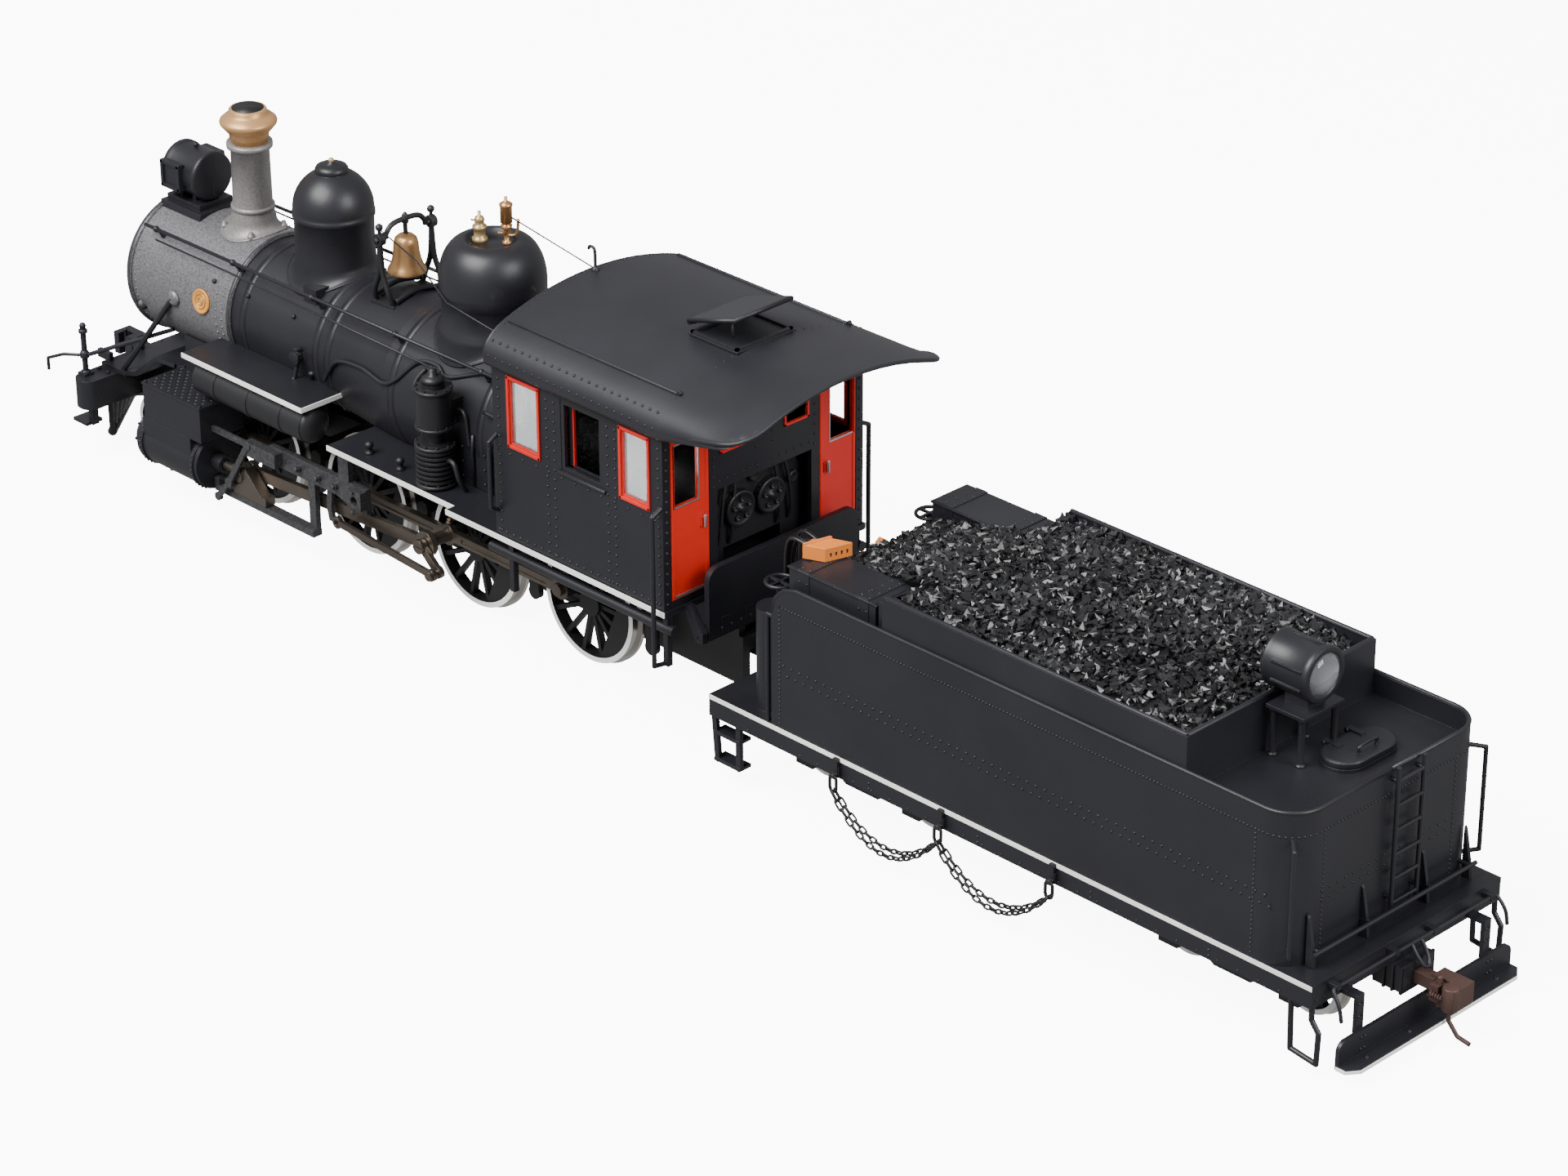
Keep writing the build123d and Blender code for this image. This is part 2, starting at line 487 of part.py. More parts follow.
TANK_Z = 30.3
with BuildPart() as air_equipment:
    for side in (1, -1):
        disc_x((90.3, 123.0), side * CYLINDER_Y, TANK_Z, 3.8)
        disc_x((89.7, 90.3), side * CYLINDER_Y, TANK_Z, 3.2)
        disc_x((123.0, 123.6), side * CYLINDER_Y, TANK_Z, 3.2)
        for strap_x in (97.0, 107.0, 117.0):
            disc_x((strap_x - 0.6, strap_x + 0.6), side * CYLINDER_Y, TANK_Z, 3.95)
            block((strap_x - 0.6, strap_x + 0.6), (side * 19.0, side * 20.6), (34.0, 34.3))
    disc_z(54.5, 19.5, (30.0, 39.0), 3.3)
    for fin in range(7):
        disc_z(54.5, 19.5, (31.4 + fin, 31.9 + fin), 3.9)
    disc_z(54.5, 19.5, (39.0, 41.8), 1.8)
    disc_z(54.5, 19.5, (41.8, 50.2), 3.5)
    disc_z(54.5, 19.5, (50.2, 51.8), 2.2)
    block((52.5, 56.5), (12.0, 17.0), (42.0, 47.0))
    clear_boiler()
air_equipment.part.label = "air_equipment"
export_step(air_equipment.part, "parts/air_equipment.step")

# ---------------------------------------------------------------- cylinders and motion brackets
with BuildPart() as cylinders:
    for side in (1, -1):
        disc_x(CYLINDER_X, side * CYLINDER_Y, CYLINDER_Z, CYLINDER_R)
        disc_x((CYLINDER_X[0] + 1.0, CYLINDER_X[0] + 2.0), side * CYLINDER_Y, CYLINDER_Z, CYLINDER_R + 0.3)
        disc_x((CYLINDER_X[1] - 2.0, CYLINDER_X[1] - 1.0), side * CYLINDER_Y, CYLINDER_Z, CYLINDER_R + 0.3)
        disc_x((118.6, 121.0), side * CYLINDER_Y, CYLINDER_Z, 1.9)
        disc_x((140.0, 141.0), side * CYLINDER_Y, CYLINDER_Z, 4.2)
        block((123.0, 138.0), (side * 14.5, side * 25.1), (12.0, 18.0))
        block((119.5, 137.5), (side * 14.1, side * 25.0), (18.0, 25.4))
        disc_x((118.0, 133.0), side * CYLINDER_Y, CYLINDER_Z, 1.05, Mode.SUBTRACT)
    block((132.5, 140.0), (-14.5, 14.5), (8.0, 25.4))
    block((128.0, 140.0), (-12.0, 12.0), (25.4, 31.0))
    turned_on_boiler([(120, 0), (120, SMOKEBOX_R), (160, SMOKEBOX_R), (160, 0)], Mode.SUBTRACT)
cylinders.part.label = "cylinders"
export_step(cylinders.part, "parts/cylinders.step")

with BuildPart() as guide_hangers:
    for side in (1, -1):
        guide_y = (side * 18.9, side * 21.1)
        block((90.5, 121.0), guide_y, (6.2, 7.6))
        block((119.6, 121.0), guide_y, (6.2, 9.0))
        side_plate([(75.0, 16.2), (79.0, 16.2), (84.0, 17.6), (104.0, 17.6), (104.0, 21.5), (75.0, 21.5)],
                   (side * 19.0, side * 20.2))
        block((75.0, 79.0), (side * 20.2, side * 21.6), (17.4, 21.2))
        disc_y(77.0, (side * 18.8, side * 21.8), 19.0, 1.0, Mode.SUBTRACT)
        for bolt_x in (84.0, 89.0, 95.0, 101.0):
            disc_y(bolt_x, (side * 20.2, side * 20.9), 19.6, 0.8)
        block((90.5, 92.5), (side * 19.0, side * 20.2), (7.6, 17.6))
        block((80.0, 83.0), (side * 19.0, side * 20.2), (21.5, 28.8))
        side_plate([(85.6, 10.9), (87.0, 10.9), (87.6, 13.6), (87.2, 17.6), (85.8, 17.6), (86.2, 13.6)],
                   (side * 19.0, side * 19.8))
        round_bar((108.4, 20.5), (114.9, 10.2), (side * 21.7, side * 22.5), 0.6, 1.0)
        round_bar((114.9, 10.2), (118.6, 6.0), (side * 21.7, side * 22.5), 0.5, 0.9)
        block((100.0, 109.4), (side * 20.2, side * 22.3), (18.2, 21.2))
        block((104.0, 119.5), (side * 21.6, side * 22.3), (20.0, 21.2))
guide_hangers.part.label = "guide_hangers"
export_step(guide_hangers.part, "parts/guide_hangers.step")

# ---------------------------------------------------------------- pilot
with BuildPart() as pilot:
    with BuildSketch(Plane.XY.offset(BEAM_Z[0])) as beam:
        with Locations(((BEAM_X[0] + BEAM_X[1]) / 2, 0)):
            RectangleRounded(BEAM_X[1] - BEAM_X[0], 2 * BEAM_HALF, 2.4)
    extrude(beam.sketch, amount=BEAM_Z[1] - BEAM_Z[0])
    both_sides((140.0, BEAM_X[0]), FRAME_Y, (13.6, 17.4))
    block((141.0, 147.0), (-FRAME_Y[0], FRAME_Y[0]), (13.6, 17.4))
    disc_z(PILOT_PIVOT_X, 0, (8.4, 13.8), 1.0)
    deck = [(BEAM_X[1], 17.4), (157.0, 17.4), (153.0, 18.6), (149.5, 21.2), (146.0, 24.2), (140.0, 24.6),
            (140.0, 25.4), (146.4, 25.0), (150.3, 21.8), (153.6, 19.4), (157.2, 18.2), (BEAM_X[1], 18.2)]
    side_plate(deck, (-15.0, 15.0))
    block((140.0, 157.5), (-FRAME_Y[1], FRAME_Y[1]), (17.4, 17.5))
    for side in (1, -1):
        block((161.5, 166.0), (side * 18.0, side * 22.0), (6.8, 7.5))
        block((161.0, 162.2), (side * 19.2, side * 20.8), (6.8, 11.2))
        disc_z(163.2, side * 20.0, (17.4, 28.0), 0.6)
        block((162.0, 164.4), (side * 18.8, side * 21.2), (17.4, 17.9))
        rod((163.2, side * 20.0, 21.5), (144.5, side * 11.2, 30.5), 0.45)
        rod((158.5, side * 14.2, 17.8), (139.5, side * 14.6, 40.0), 0.6)
        rear, apex = (162.5, side * 15.0), (175.0, 0.0)
        rod((rear[0], rear[1], 3.0), (apex[0], apex[1], 3.0), 1.0)
        for slat in range(8):
            share = slat / 8
            foot = (rear[0] + share * (apex[0] - rear[0]), rear[1] * (1 - share), 3.0)
            head = (rear[0] + share * 2.0, rear[1] * (1 - share), 11.4)
            rod(foot, head, 0.55)
    with Locations((175.0, 0, 3.0)):
        Sphere(1.3)
    rod((175.0, 0, 3.0), (164.0, 0, 11.6), 0.6)
    block((164.0, 166.5), (-3.0, 3.0), (11.6, 17.0))
    block((166.5, 173.0), (-1.4, 1.4), (12.6, 15.4))
    block((172.0, 178.0), (-2.6, 1.6), (11.6, 16.4))
    block((174.0, 176.4), (-0.6, 1.8), (11.0, 17.0), Mode.SUBTRACT)
    for side in (1, -1):
        bent_wire([(176.0, side * 20.0, 14.3), (176.0, side * 20.0, 16.9), (170.5, side * 20.0, 19.5),
                   (167.0, side * 17.0, 19.4), (166.0, side * 5.0, 19.4)], 0.35)
        block((163.0, 167.0), (side * 13.0, side * 14.0), (18.2, 20.0))
        block((163.0, 167.0), (side * 5.0, side * 6.0), (18.2, 20.0))
    turned_on_boiler([(120, 0), (120, SMOKEBOX_R), (153, SMOKEBOX_R), (153, SMOKEBOX_R + 0.4),
                      (156, SMOKEBOX_R + 0.4), (156, 0)], Mode.SUBTRACT)
pilot.part.label = "pilot"
export_step(pilot.part, "parts/pilot.step")

with BuildPart() as pilot_truck:
    disc_z(PILOT_PIVOT_X, 0, (8.6, 10.6), 2.6)
    block((PILOT_PIVOT_X, 148.5), (-2.0, 2.0), (8.6, 10.4))
    floor_plate([(147.0, -3.0), (149.0, -6.4), (158.0, -6.4), (158.0, -4.8), (150.0, -4.8), (149.0, -3.0),
                 (149.0, 3.0), (150.0, 4.8), (158.0, 4.8), (158.0, 6.4), (149.0, 6.4), (147.0, 3.0)],
                (4.6, 10.4))
    disc_z(PILOT_PIVOT_X, 0, (8.0, 11.0), 1.05, Mode.SUBTRACT)
    disc_y(PILOT_AXLE_X, (-7, 7), PILOT_FLANGE, 1.05, Mode.SUBTRACT)
pilot_truck.part.label = "pilot_truck"
export_step(pilot_truck.part, "parts/pilot_truck.step")

with BuildPart() as pilot_wheels:
    for side in (1, -1):
        wheel(PILOT_AXLE_X, PILOT_FLANGE, side, PILOT_FLANGE, PILOT_TREAD, 4.9, 9, 1.5, 0.6)
    disc_y(PILOT_AXLE_X, (-WHEEL_IN, WHEEL_IN), PILOT_FLANGE, 1.0)
pilot_wheels.part.label = "pilot_wheels"
export_step(pilot_wheels.part, "parts/pilot_wheels.step")

# ---------------------------------------------------------------- cab
SIDE_WINDOWS = ((18.2, 26.9), (1.6, 12.6), (-10.8, -2.9))
WINDOW_Z = (49.1, 63.4)
DOOR_Y, DOOR_Z, DOOR_T = (14.0, 23.3), (31.5, 63.9), 0.9
with BuildPart() as cab_body:
    both_sides((CAB_REAR, CAB_FRONT), (CAB_HALF - 1.0, CAB_HALF), (CAB_FLOOR, CAB_EAVE))
    for window in SIDE_WINDOWS:
        both_sides(window, (CAB_HALF - 1.5, CAB_HALF + 0.5), WINDOW_Z, Mode.SUBTRACT)
    inner = CAB_HALF - 1.0
    for wall in ((CAB_FRONT - 1.0, CAB_FRONT), (CAB_REAR, CAB_REAR + 1.0)):
        with BuildSketch(Plane.YZ.offset(wall[0])) as panel:
            with Locations((0, (CAB_FLOOR + 78.0) / 2)):
                Rectangle(2 * inner, 78.0 - CAB_FLOOR)
            with Locations((0, ROOF_CENTRE)):
                Circle(ROOF_R - ROOF_T, mode=Mode.INTERSECT)
        extrude(panel.sketch, amount=1.0)
    block((CAB_FRONT - 1.5, CAB_FRONT + 0.5), (-7.2, 7.2), (29.0, 32.0), Mode.SUBTRACT)
    both_sides((CAB_REAR - 0.5, CAB_REAR + 1.5), (DOOR_Y[0] - 0.1, DOOR_Y[1] + 0.2),
               (DOOR_Z[0] - 0.1, DOOR_Z[1] + 0.1), Mode.SUBTRACT)
    block((CAB_REAR - 0.5, CAB_REAR + 1.5), (-11.9, 11.9), (CAB_FLOOR, 49.7), Mode.SUBTRACT)
    both_sides((CAB_REAR - 0.5, CAB_REAR + 1.5), (4.9, 11.2), (56.6, 62.5), Mode.SUBTRACT)
    both_sides((CAB_FRONT - 1.5, CAB_FRONT + 0.5), (17.5, 22.8), (50.0, 62.5), Mode.SUBTRACT)
    for side in (1, -1):
        bent_wire([(CAB_REAR + 0.6, side * 25.2, 50.5), (CAB_REAR + 0.6, side * 27.4, 49.4),
                   (CAB_REAR + 0.6, side * 27.4, 19.6), (CAB_REAR + 0.6, side * 24.5, 19.2)], 0.45)
        bent_wire([(CAB_FRONT - 0.8, side * 25.2, 50.5), (CAB_FRONT - 0.8, side * 27.2, 49.4),
                   (CAB_FRONT - 0.8, side * 27.2, 36.0), (CAB_FRONT - 0.8, side * 25.2, 35.0)], 0.4)
        rod((CAB_REAR - 1.3, side * 24.0, 26.0), (34.0, side * 24.0, 26.0), 1.0)
        for bracket_x in (CAB_REAR + 0.6, 28.0):
            block((bracket_x - 0.6, bracket_x + 0.6), (side * 23.4, side * 24.6), (18.6, 28.8))
cab_body.part.label = "cab_body"
export_step(cab_body.part, "parts/cab_body.step")

with BuildPart() as cab_roof:
    with BuildSketch(Plane.YZ.offset(ROOF_X[0])) as arch:
        with Locations((0, 72.0)):
            Rectangle(2 * ROOF_HALF, 12.0)
        with Locations((0, ROOF_CENTRE)):
            Circle(ROOF_R, mode=Mode.INTERSECT)
            Circle(ROOF_R - ROOF_T, mode=Mode.SUBTRACT)
    extrude(arch.sketch, amount=ROOF_X[1] - ROOF_X[0])
    inner = CAB_HALF - 1.0
    for side in (1, -1):
        cove = [(inner, CAB_EAVE), (CAB_HALF, CAB_EAVE), (26.3, 65.3), (26.8, 66.4), (26.7, 67.6),
                (26.2, 68.7), (ROOF_HALF, roof_height(ROOF_HALF) - 0.1), (inner, roof_height(inner) - 0.4)]
        cross_plate([(side * y, z) for y, z in cove], (CAB_REAR, CAB_FRONT))
    with BuildSketch(Plane.XY.offset(60)) as plan:
        with Locations(((ROOF_X[0] + ROOF_X[1]) / 2 + 5, 0)):
            RectangleRounded(ROOF_X[1] - ROOF_X[0] + 10, 54.0, 6.0)
    extrude(plan.sketch, amount=20, mode=Mode.INTERSECT)
    block((-14.3, -2.4), (-7.0, 7.0), (74.0, 76.4))
    block((-13.7, -3.0), (-6.3, 6.3), (73.0, 77.0), Mode.SUBTRACT)
    with BuildSketch(Plane.YZ.offset(CAB_REAR)) as under:
        with Locations((0, 60.0)):
            Rectangle(2 * inner, 28.8)
        with Locations((0, ROOF_CENTRE)):
            Circle(ROOF_R - ROOF_T, mode=Mode.INTERSECT)
    extrude(under.sketch, amount=CAB_FRONT - CAB_REAR, mode=Mode.SUBTRACT)
cab_roof.part.label = "cab_roof"
export_step(cab_roof.part, "parts/cab_roof.step")

HATCH_HINGE, HATCH_OPEN = (-2.0, 77.2), 17.0
with BuildPart() as roof_hatch_lid:
    rise = Vector(-cos(radians(HATCH_OPEN)), 0, sin(radians(HATCH_OPEN)))
    lid_plane = Plane(origin=(HATCH_HINGE[0], 0, HATCH_HINGE[1]), x_dir=rise,
                      z_dir=(sin(radians(HATCH_OPEN)), 0, cos(radians(HATCH_OPEN))))
    with BuildSketch(lid_plane) as lid:
        with Locations((6.3, 0)):
            Rectangle(12.6, 14.4)
    extrude(lid.sketch, amount=0.8)
    disc_y(HATCH_HINGE[0], (-7.0, 7.0), HATCH_HINGE[1], 0.5)
roof_hatch_lid.part.label = "roof_hatch_lid"
export_step(roof_hatch_lid.part, "parts/roof_hatch_lid.step")

for side, hand in ((1, "left"), (-1, "right")):
    with BuildPart() as cab_door:
        door_x = (CAB_REAR, CAB_REAR + DOOR_T)
        block(door_x, (side * DOOR_Y[0], side * DOOR_Y[1]), DOOR_Z)
        block((CAB_REAR - 1, CAB_REAR + 2), (side * 16.5, side * 22.7), (49.7, 62.0), Mode.SUBTRACT)
        block((CAB_REAR - 0.3, CAB_REAR), (side * 15.0, side * 16.2), (44.0, 46.0))
        disc_z(CAB_REAR + DOOR_T, side * DOOR_Y[1], DOOR_Z, 0.18)
    cab_door.part.label = f"cab_door_{hand}"
    export_step(cab_door.part, f"parts/cab_door_{hand}.step")

with BuildPart() as window_frames:
    for window in SIDE_WINDOWS:
        both_sides(window, (CAB_HALF - 0.9, CAB_HALF - 0.1), WINDOW_Z)
        both_sides((window[0] + 0.9, window[1] - 0.9), (CAB_HALF - 1.5, CAB_HALF + 0.5),
                   (WINDOW_Z[0] + 0.9, WINDOW_Z[1] - 0.9), Mode.SUBTRACT)
window_frames.part.label = "window_frames"
export_step(window_frames.part, "parts/window_frames.step")

with BuildPart() as window_glass:
    for window in (SIDE_WINDOWS[0], SIDE_WINDOWS[2]):
        both_sides((window[0] + 0.9, window[1] - 0.9), (CAB_HALF - 0.7, CAB_HALF - 0.4),
                   (WINDOW_Z[0] + 0.9, WINDOW_Z[1] - 0.9))
    both_sides((CAB_FRONT - 0.7, CAB_FRONT - 0.4), (17.5, 22.8), (50.0, 62.5))
window_glass.part.label = "window_glass"
export_step(window_glass.part, "parts/window_glass.step")

with BuildPart() as fall_plate:
    with BuildSketch(Plane.YZ.offset(-19.0)) as sheet:
        with Locations((0, 30.65)):
            RectangleRounded(38.0, 14.3, 2.6)
        with Locations((0, 27.0)):
            Rectangle(38.0, 7.0)
    extrude(sheet.sketch, amount=1.2)
    disc_y(FALL_HINGE[0], (-20.5, 20.5), FALL_HINGE[1], 0.45)
fall_plate.part.label = "fall_plate"
export_step(fall_plate.part, "parts/fall_plate.step")

with BuildPart() as backhead:
    with BuildSketch(Plane.YZ.offset(BACKHEAD_X)) as firebox:
        with Locations((0, BOILER_Z + 1.0)):
            Circle(13.0)
        with Locations((0, 36.0)):
            Rectangle(26.0, 12.0)
        with Locations((0, 32.5)):
            Rectangle(14.4, 5.4, mode=Mode.SUBTRACT)
    extrude(firebox.sketch, amount=CAB_FRONT - 1.0 - BACKHEAD_X)
    block((BACKHEAD_X - 1, CAB_FRONT - 1.0), (-14.0, 14.0), (20.0, CAB_FLOOR), Mode.SUBTRACT)
    for disc_y_at in (-3.9, 3.9):
        disc_x((BACKHEAD_X - 0.9, BACKHEAD_X), disc_y_at, 42.5, 3.6)
    rod((BACKHEAD_X - 0.7, -8.0, 49.5), (BACKHEAD_X - 0.7, 8.0, 49.5), 0.5)
    for pipe_y in (-7.0, 0.0, 7.0):
        rod((BACKHEAD_X - 0.7, pipe_y, 49.5), (BACKHEAD_X + 0.3, pipe_y, 49.5), 0.5)
backhead.part.label = "backhead"
export_step(backhead.part, "parts/backhead.step")

# ---------------------------------------------------------------- drawbar
with BuildPart() as drawbar:
    with BuildSketch(Plane.XY.offset(DRAWBAR_Z[0])) as bar:
        with Locations(((DRAWBAR_PIN + TENDER_PIN) / 2, 0)):
            Rectangle(DRAWBAR_PIN - TENDER_PIN, 3.0)
        with Locations((DRAWBAR_PIN, 0), (TENDER_PIN, 0)):
            Circle(1.9)
        with Locations((DRAWBAR_PIN, 0), (TENDER_PIN, 0)):
            Circle(1.05, mode=Mode.SUBTRACT)
    extrude(bar.sketch, amount=DRAWBAR_Z[1] - DRAWBAR_Z[0])
drawbar.part.label = "drawbar"
export_step(drawbar.part, "parts/drawbar.step")

# ---------------------------------------------------------------- tender
with BuildPart() as tender_frame:
    block(DECK_X, (-DECK_HALF, DECK_HALF), DECK_Z)
    both_sides(DECK_X, (DECK_HALF - 1.7, DECK_HALF), (12.9, DECK_Z[0]))
    both_sides((-160.0, -36.0), (2.5, 4.2), (12.9, DECK_Z[0]))
    both_sides((-27.5, -24.5), (6.0, DECK_HALF), (12.9, DECK_Z[0]))
    block((-164.4, -161.4), (-DECK_HALF, DECK_HALF), (12.9, DECK_Z[0]))
    disc_z(TENDER_PIN, 0, (11.6, DECK_Z[0]), 1.0)
    for truck_x in TRUCK_X:
        block((truck_x - 3.0, truck_x + 3.0), (-4.2, 4.2), (11.9, DECK_Z[0]))
        disc_z(truck_x, 0, (8.0, 12.0), 1.2)
    block((-167.0, -160.6), (-4.0, 4.0), (8.0, 12.9))
    block((-168.0, -161.4), (-3.2, 3.2), (8.9, 11.4), Mode.SUBTRACT)
    disc_z(COUPLER_PIVOT_X, 0, (8.5, 11.8), 0.8)
    for side in (1, -1):
        for strap in (((-25.2, 13.2), (-26.0, 4.2)), ((-31.4, 13.2), (-31.4, 4.2))):
            round_bar(strap[0], strap[1], (side * 23.3, side * 24.1), 0.6, 0.6)
        for tread_z in (3.9, 9.4):
            block((-32.0, -25.4), (side * 21.4, side * 24.3), (tread_z, tread_z + 0.7))
        bent_wire([(-39.0, side * 23.9, 17.0), (-39.0, side * 23.9, 38.5), (-40.5, side * 23.9, 38.5)], 0.45)
        disc_z(-35.6, side * 19.0, (DECK_Z[1], 37.0), 3.2)
        disc_z(-37.2, side * 19.0, (37.0, 42.0), 0.7)
        with Locations(Location((-37.2, side * 19.0, 42.4), (0, 0, 0))):
            Torus(2.6, 0.35)
        block((-39.7, -34.7), (side * 18.7, side * 19.3), (42.2, 42.6))
        block((-37.5, -36.9), (side * 16.5, side * 21.5), (42.2, 42.6))
        block((-168.2, -167.4), (side * 15.6, side * 17.4), (3.0, 14.0))
        block((-168.2, -164.4), (side * 15.6, side * 17.4), (13.2, 14.0))
        bent_wire([(-159.6, side * 23.8, 13.4), (-159.9, side * 23.8, 3.4), (-165.4, side * 23.8, 2.7),
                   (-165.6, side * 23.8, 8.6), (-164.0, side * 23.8, 10.6), (-164.0, side * 23.8, 13.4)], 0.5)
        for bracket_x in CHAIN_X:
            block((bracket_x - 0.8, bracket_x + 0.8), (side * 24.5, side * 25.2), (13.4, 15.4))
    with BuildSketch(Plane.YZ.offset(-169.0)) as board_wall:
        with Locations((0, 4.95)):
            RectangleRounded(45.0, 5.1, 1.8)
        with Locations((0, 3.6)):
            Rectangle(45.0, 2.4)
    extrude(board_wall.sketch, amount=0.8)
    floor_plate([(-172.0, -20.5), (-170.5, -22.5), (-168.6, -22.5), (-168.6, 22.5), (-170.5, 22.5),
                 (-172.0, 20.5)], (2.4, 3.2))
    rod((-166.0, -20.0, 16.0), (-166.0, 20.0, 16.0), 0.35)
    for lever_y in (-20.0, -5.0, 5.0, 20.0):
        block((-166.4, -164.4), (lever_y - 0.6, lever_y + 0.6), (15.5, 16.5))
tender_frame.part.label = "tender_frame"
export_step(tender_frame.part, "parts/tender_frame.step")

LADDER_Y = (-6.4, 0.2)
with BuildPart() as tender_tank:
    with BuildSketch(Plane.XY.offset(DECK_Z[1])) as plan:
        with Locations(((TANK_X[0] + TANK_X[1]) / 2, 0)):
            RectangleRounded(TANK_X[1] - TANK_X[0], 2 * DECK_HALF, 6.6)
        with Locations((TANK_X[1] - 10, 0)):
            Rectangle(20.0, 2 * DECK_HALF)
    extrude(plan.sketch, amount=TANK_TOP - DECK_Z[1])
    front_corner = [(TANK_X[1] + 1, TANK_TOP + 1), (TANK_X[1] - 6, TANK_TOP + 1), (TANK_X[1] - 6, TANK_TOP)]
    front_corner += [(TANK_X[1] - 6 + 6 * sin(radians(a)), TANK_TOP - 6 + 6 * cos(radians(a)))
                     for a in range(15, 91, 15)]
    front_corner += [(TANK_X[1] + 1, TANK_TOP - 6)]
    side_plate(front_corner, (-25, 25), Mode.SUBTRACT)
    block((BUNKER_X[1], TANK_X[1] - 1.0), (-23.7, 23.7), (41.5, 50.0), Mode.SUBTRACT)
    block((TANK_X[1] - 7.0, TANK_X[1] + 1), (-23.7, 23.7), (41.5, 50.0), Mode.SUBTRACT)
    with BuildSketch(Plane.XY.offset(41.5)) as rear_deck:
        with Locations(((TANK_X[0] + BUNKER_X[0]) / 2, 0)):
            RectangleRounded(BUNKER_X[0] - TANK_X[0] - 1.6, 47.4, 5.8)
        with Locations((BUNKER_X[0] - 5.0, 0)):
            Rectangle(10.0, 47.4)
    extrude(rear_deck.sketch, amount=10.0, mode=Mode.SUBTRACT)
    block(BUNKER_X, (-BUNKER_HALF, BUNKER_HALF), (41.5, BUNKER_TOP))
    block((BUNKER_X[0] + 0.9, BUNKER_X[1] + 1), (-23.1, 23.1), (46.0, 60.0), Mode.SUBTRACT)
    with BuildSketch(Plane.XY.offset(DECK_Z[1] - 1)) as cavity:
        with Locations(((TANK_X[0] + TANK_X[1]) / 2, 0)):
            RectangleRounded(TANK_X[1] - TANK_X[0] - 2.0, 2 * DECK_HALF - 2.0, 5.6)
    extrude(cavity.sketch, amount=40.5 - DECK_Z[1] + 1, mode=Mode.SUBTRACT)
    for side in (1, -1):
        block((-64.0, -43.0), (side * 13.5, side * 22.5), (41.5, 49.0))
        block((BUNKER_X[1] - 0.1, -65.0), (side * 21.8, side * 22.8), (41.5, 50.0))
    for rung_z in range(6):
        rod((-160.6, LADDER_Y[0], 21.0 + 4.6 * rung_z), (-160.6, LADDER_Y[1], 21.0 + 4.6 * rung_z), 0.35)
    for rail_y in LADDER_Y:
        rod((-160.6, rail_y, 19.5), (-160.6, rail_y, 46.6), 0.4)
        for foot_z in (22.0, 44.0):
            rod((-160.6, rail_y, foot_z), (-159.0, rail_y, foot_z), 0.4)
    rod((-161.6, -21.0, 20.4), (-161.6, 21.0, 20.4), 0.4)
    for post_y in (-19.5, -9.3, 6.3, 19.5):
        rod((-161.6, post_y, 20.4), (-159.0, post_y, 20.4), 0.4)
    for side in (1, -1):
        bent_wire([(-157.2, side * 22.4, 40.7), (-159.4, side * 24.6, 40.2), (-159.4, side * 24.6, 20.6),
                   (-157.2, side * 22.4, 20.1)], 0.4)
tender_tank.part.label = "tender_tank"
export_step(tender_tank.part, "parts/tender_tank.step")

with BuildPart() as coal_load:
    side_plate([(-134.8, 46.0), (-134.8, 50.4), (-120.0, 54.0), (-95.0, 55.0), (-78.0, 54.0), (-68.2, 51.0),
                (-68.2, 46.0)], (-23.0, 23.0))
    side_plate([(-68.2, 46.0), (-68.2, 51.0), (-56.0, 49.0), (-44.5, 46.0), (-44.5, 41.5), (-66.9, 41.5),
                (-66.9, 46.0)], (-13.4, 13.4))
coal_load.part.label = "coal_load"
export_step(coal_load.part, "parts/coal_load.step")

with BuildPart() as tender_headlight:
    disc_x((-143.8, -135.3), 0, 56.6, 4.5)
    disc_x((-144.0, -142.8), 0, 56.6, 3.9, Mode.SUBTRACT)
    block((-143.8, -136.2), (-5.0, 5.0), (50.4, 51.2))
    block((-142.0, -138.0), (-2.0, 2.0), (51.2, 53.0))
    for post_x in (-143.0, -137.0):
        both_sides((post_x - 0.4, post_x + 0.4), (3.8, 4.6), (41.5, 50.4))
tender_headlight.part.label = "tender_headlight"
export_step(tender_headlight.part, "parts/tender_headlight.step")

WATER_HATCH, HATCH_HINGE_X = (-148.0, -5.8), -143.4
with BuildPart() as water_hatch_lid:
    with BuildSketch(Plane.XY.offset(42.2)) as lid:
        with Locations(WATER_HATCH):
            SlotOverall(15.0, 8.0, rotation=90)
    extrude(lid.sketch, amount=1.2)
    rod((WATER_HATCH[0] - 2.4, WATER_HATCH[1] - 2.0, 44.4), (WATER_HATCH[0] - 2.4, WATER_HATCH[1] + 2.0, 44.4), 0.35)
    for lug in (-2.0, 2.0):
        rod((WATER_HATCH[0] - 2.4, WATER_HATCH[1] + lug, 43.0),
            (WATER_HATCH[0] - 2.4, WATER_HATCH[1] + lug, 44.4), 0.35)
    for knuckle in (-3.0, 3.0):
        knuckle_y = (WATER_HATCH[1] + knuckle - 0.6, WATER_HATCH[1] + knuckle + 0.6)
        disc_y(HATCH_HINGE_X, knuckle_y, 42.4, 0.5)
        block((WATER_HATCH[0] + 3.0, HATCH_HINGE_X), knuckle_y, (42.2, 42.8))
water_hatch_lid.part.label = "water_hatch_lid"
export_step(water_hatch_lid.part, "parts/water_hatch_lid.step")

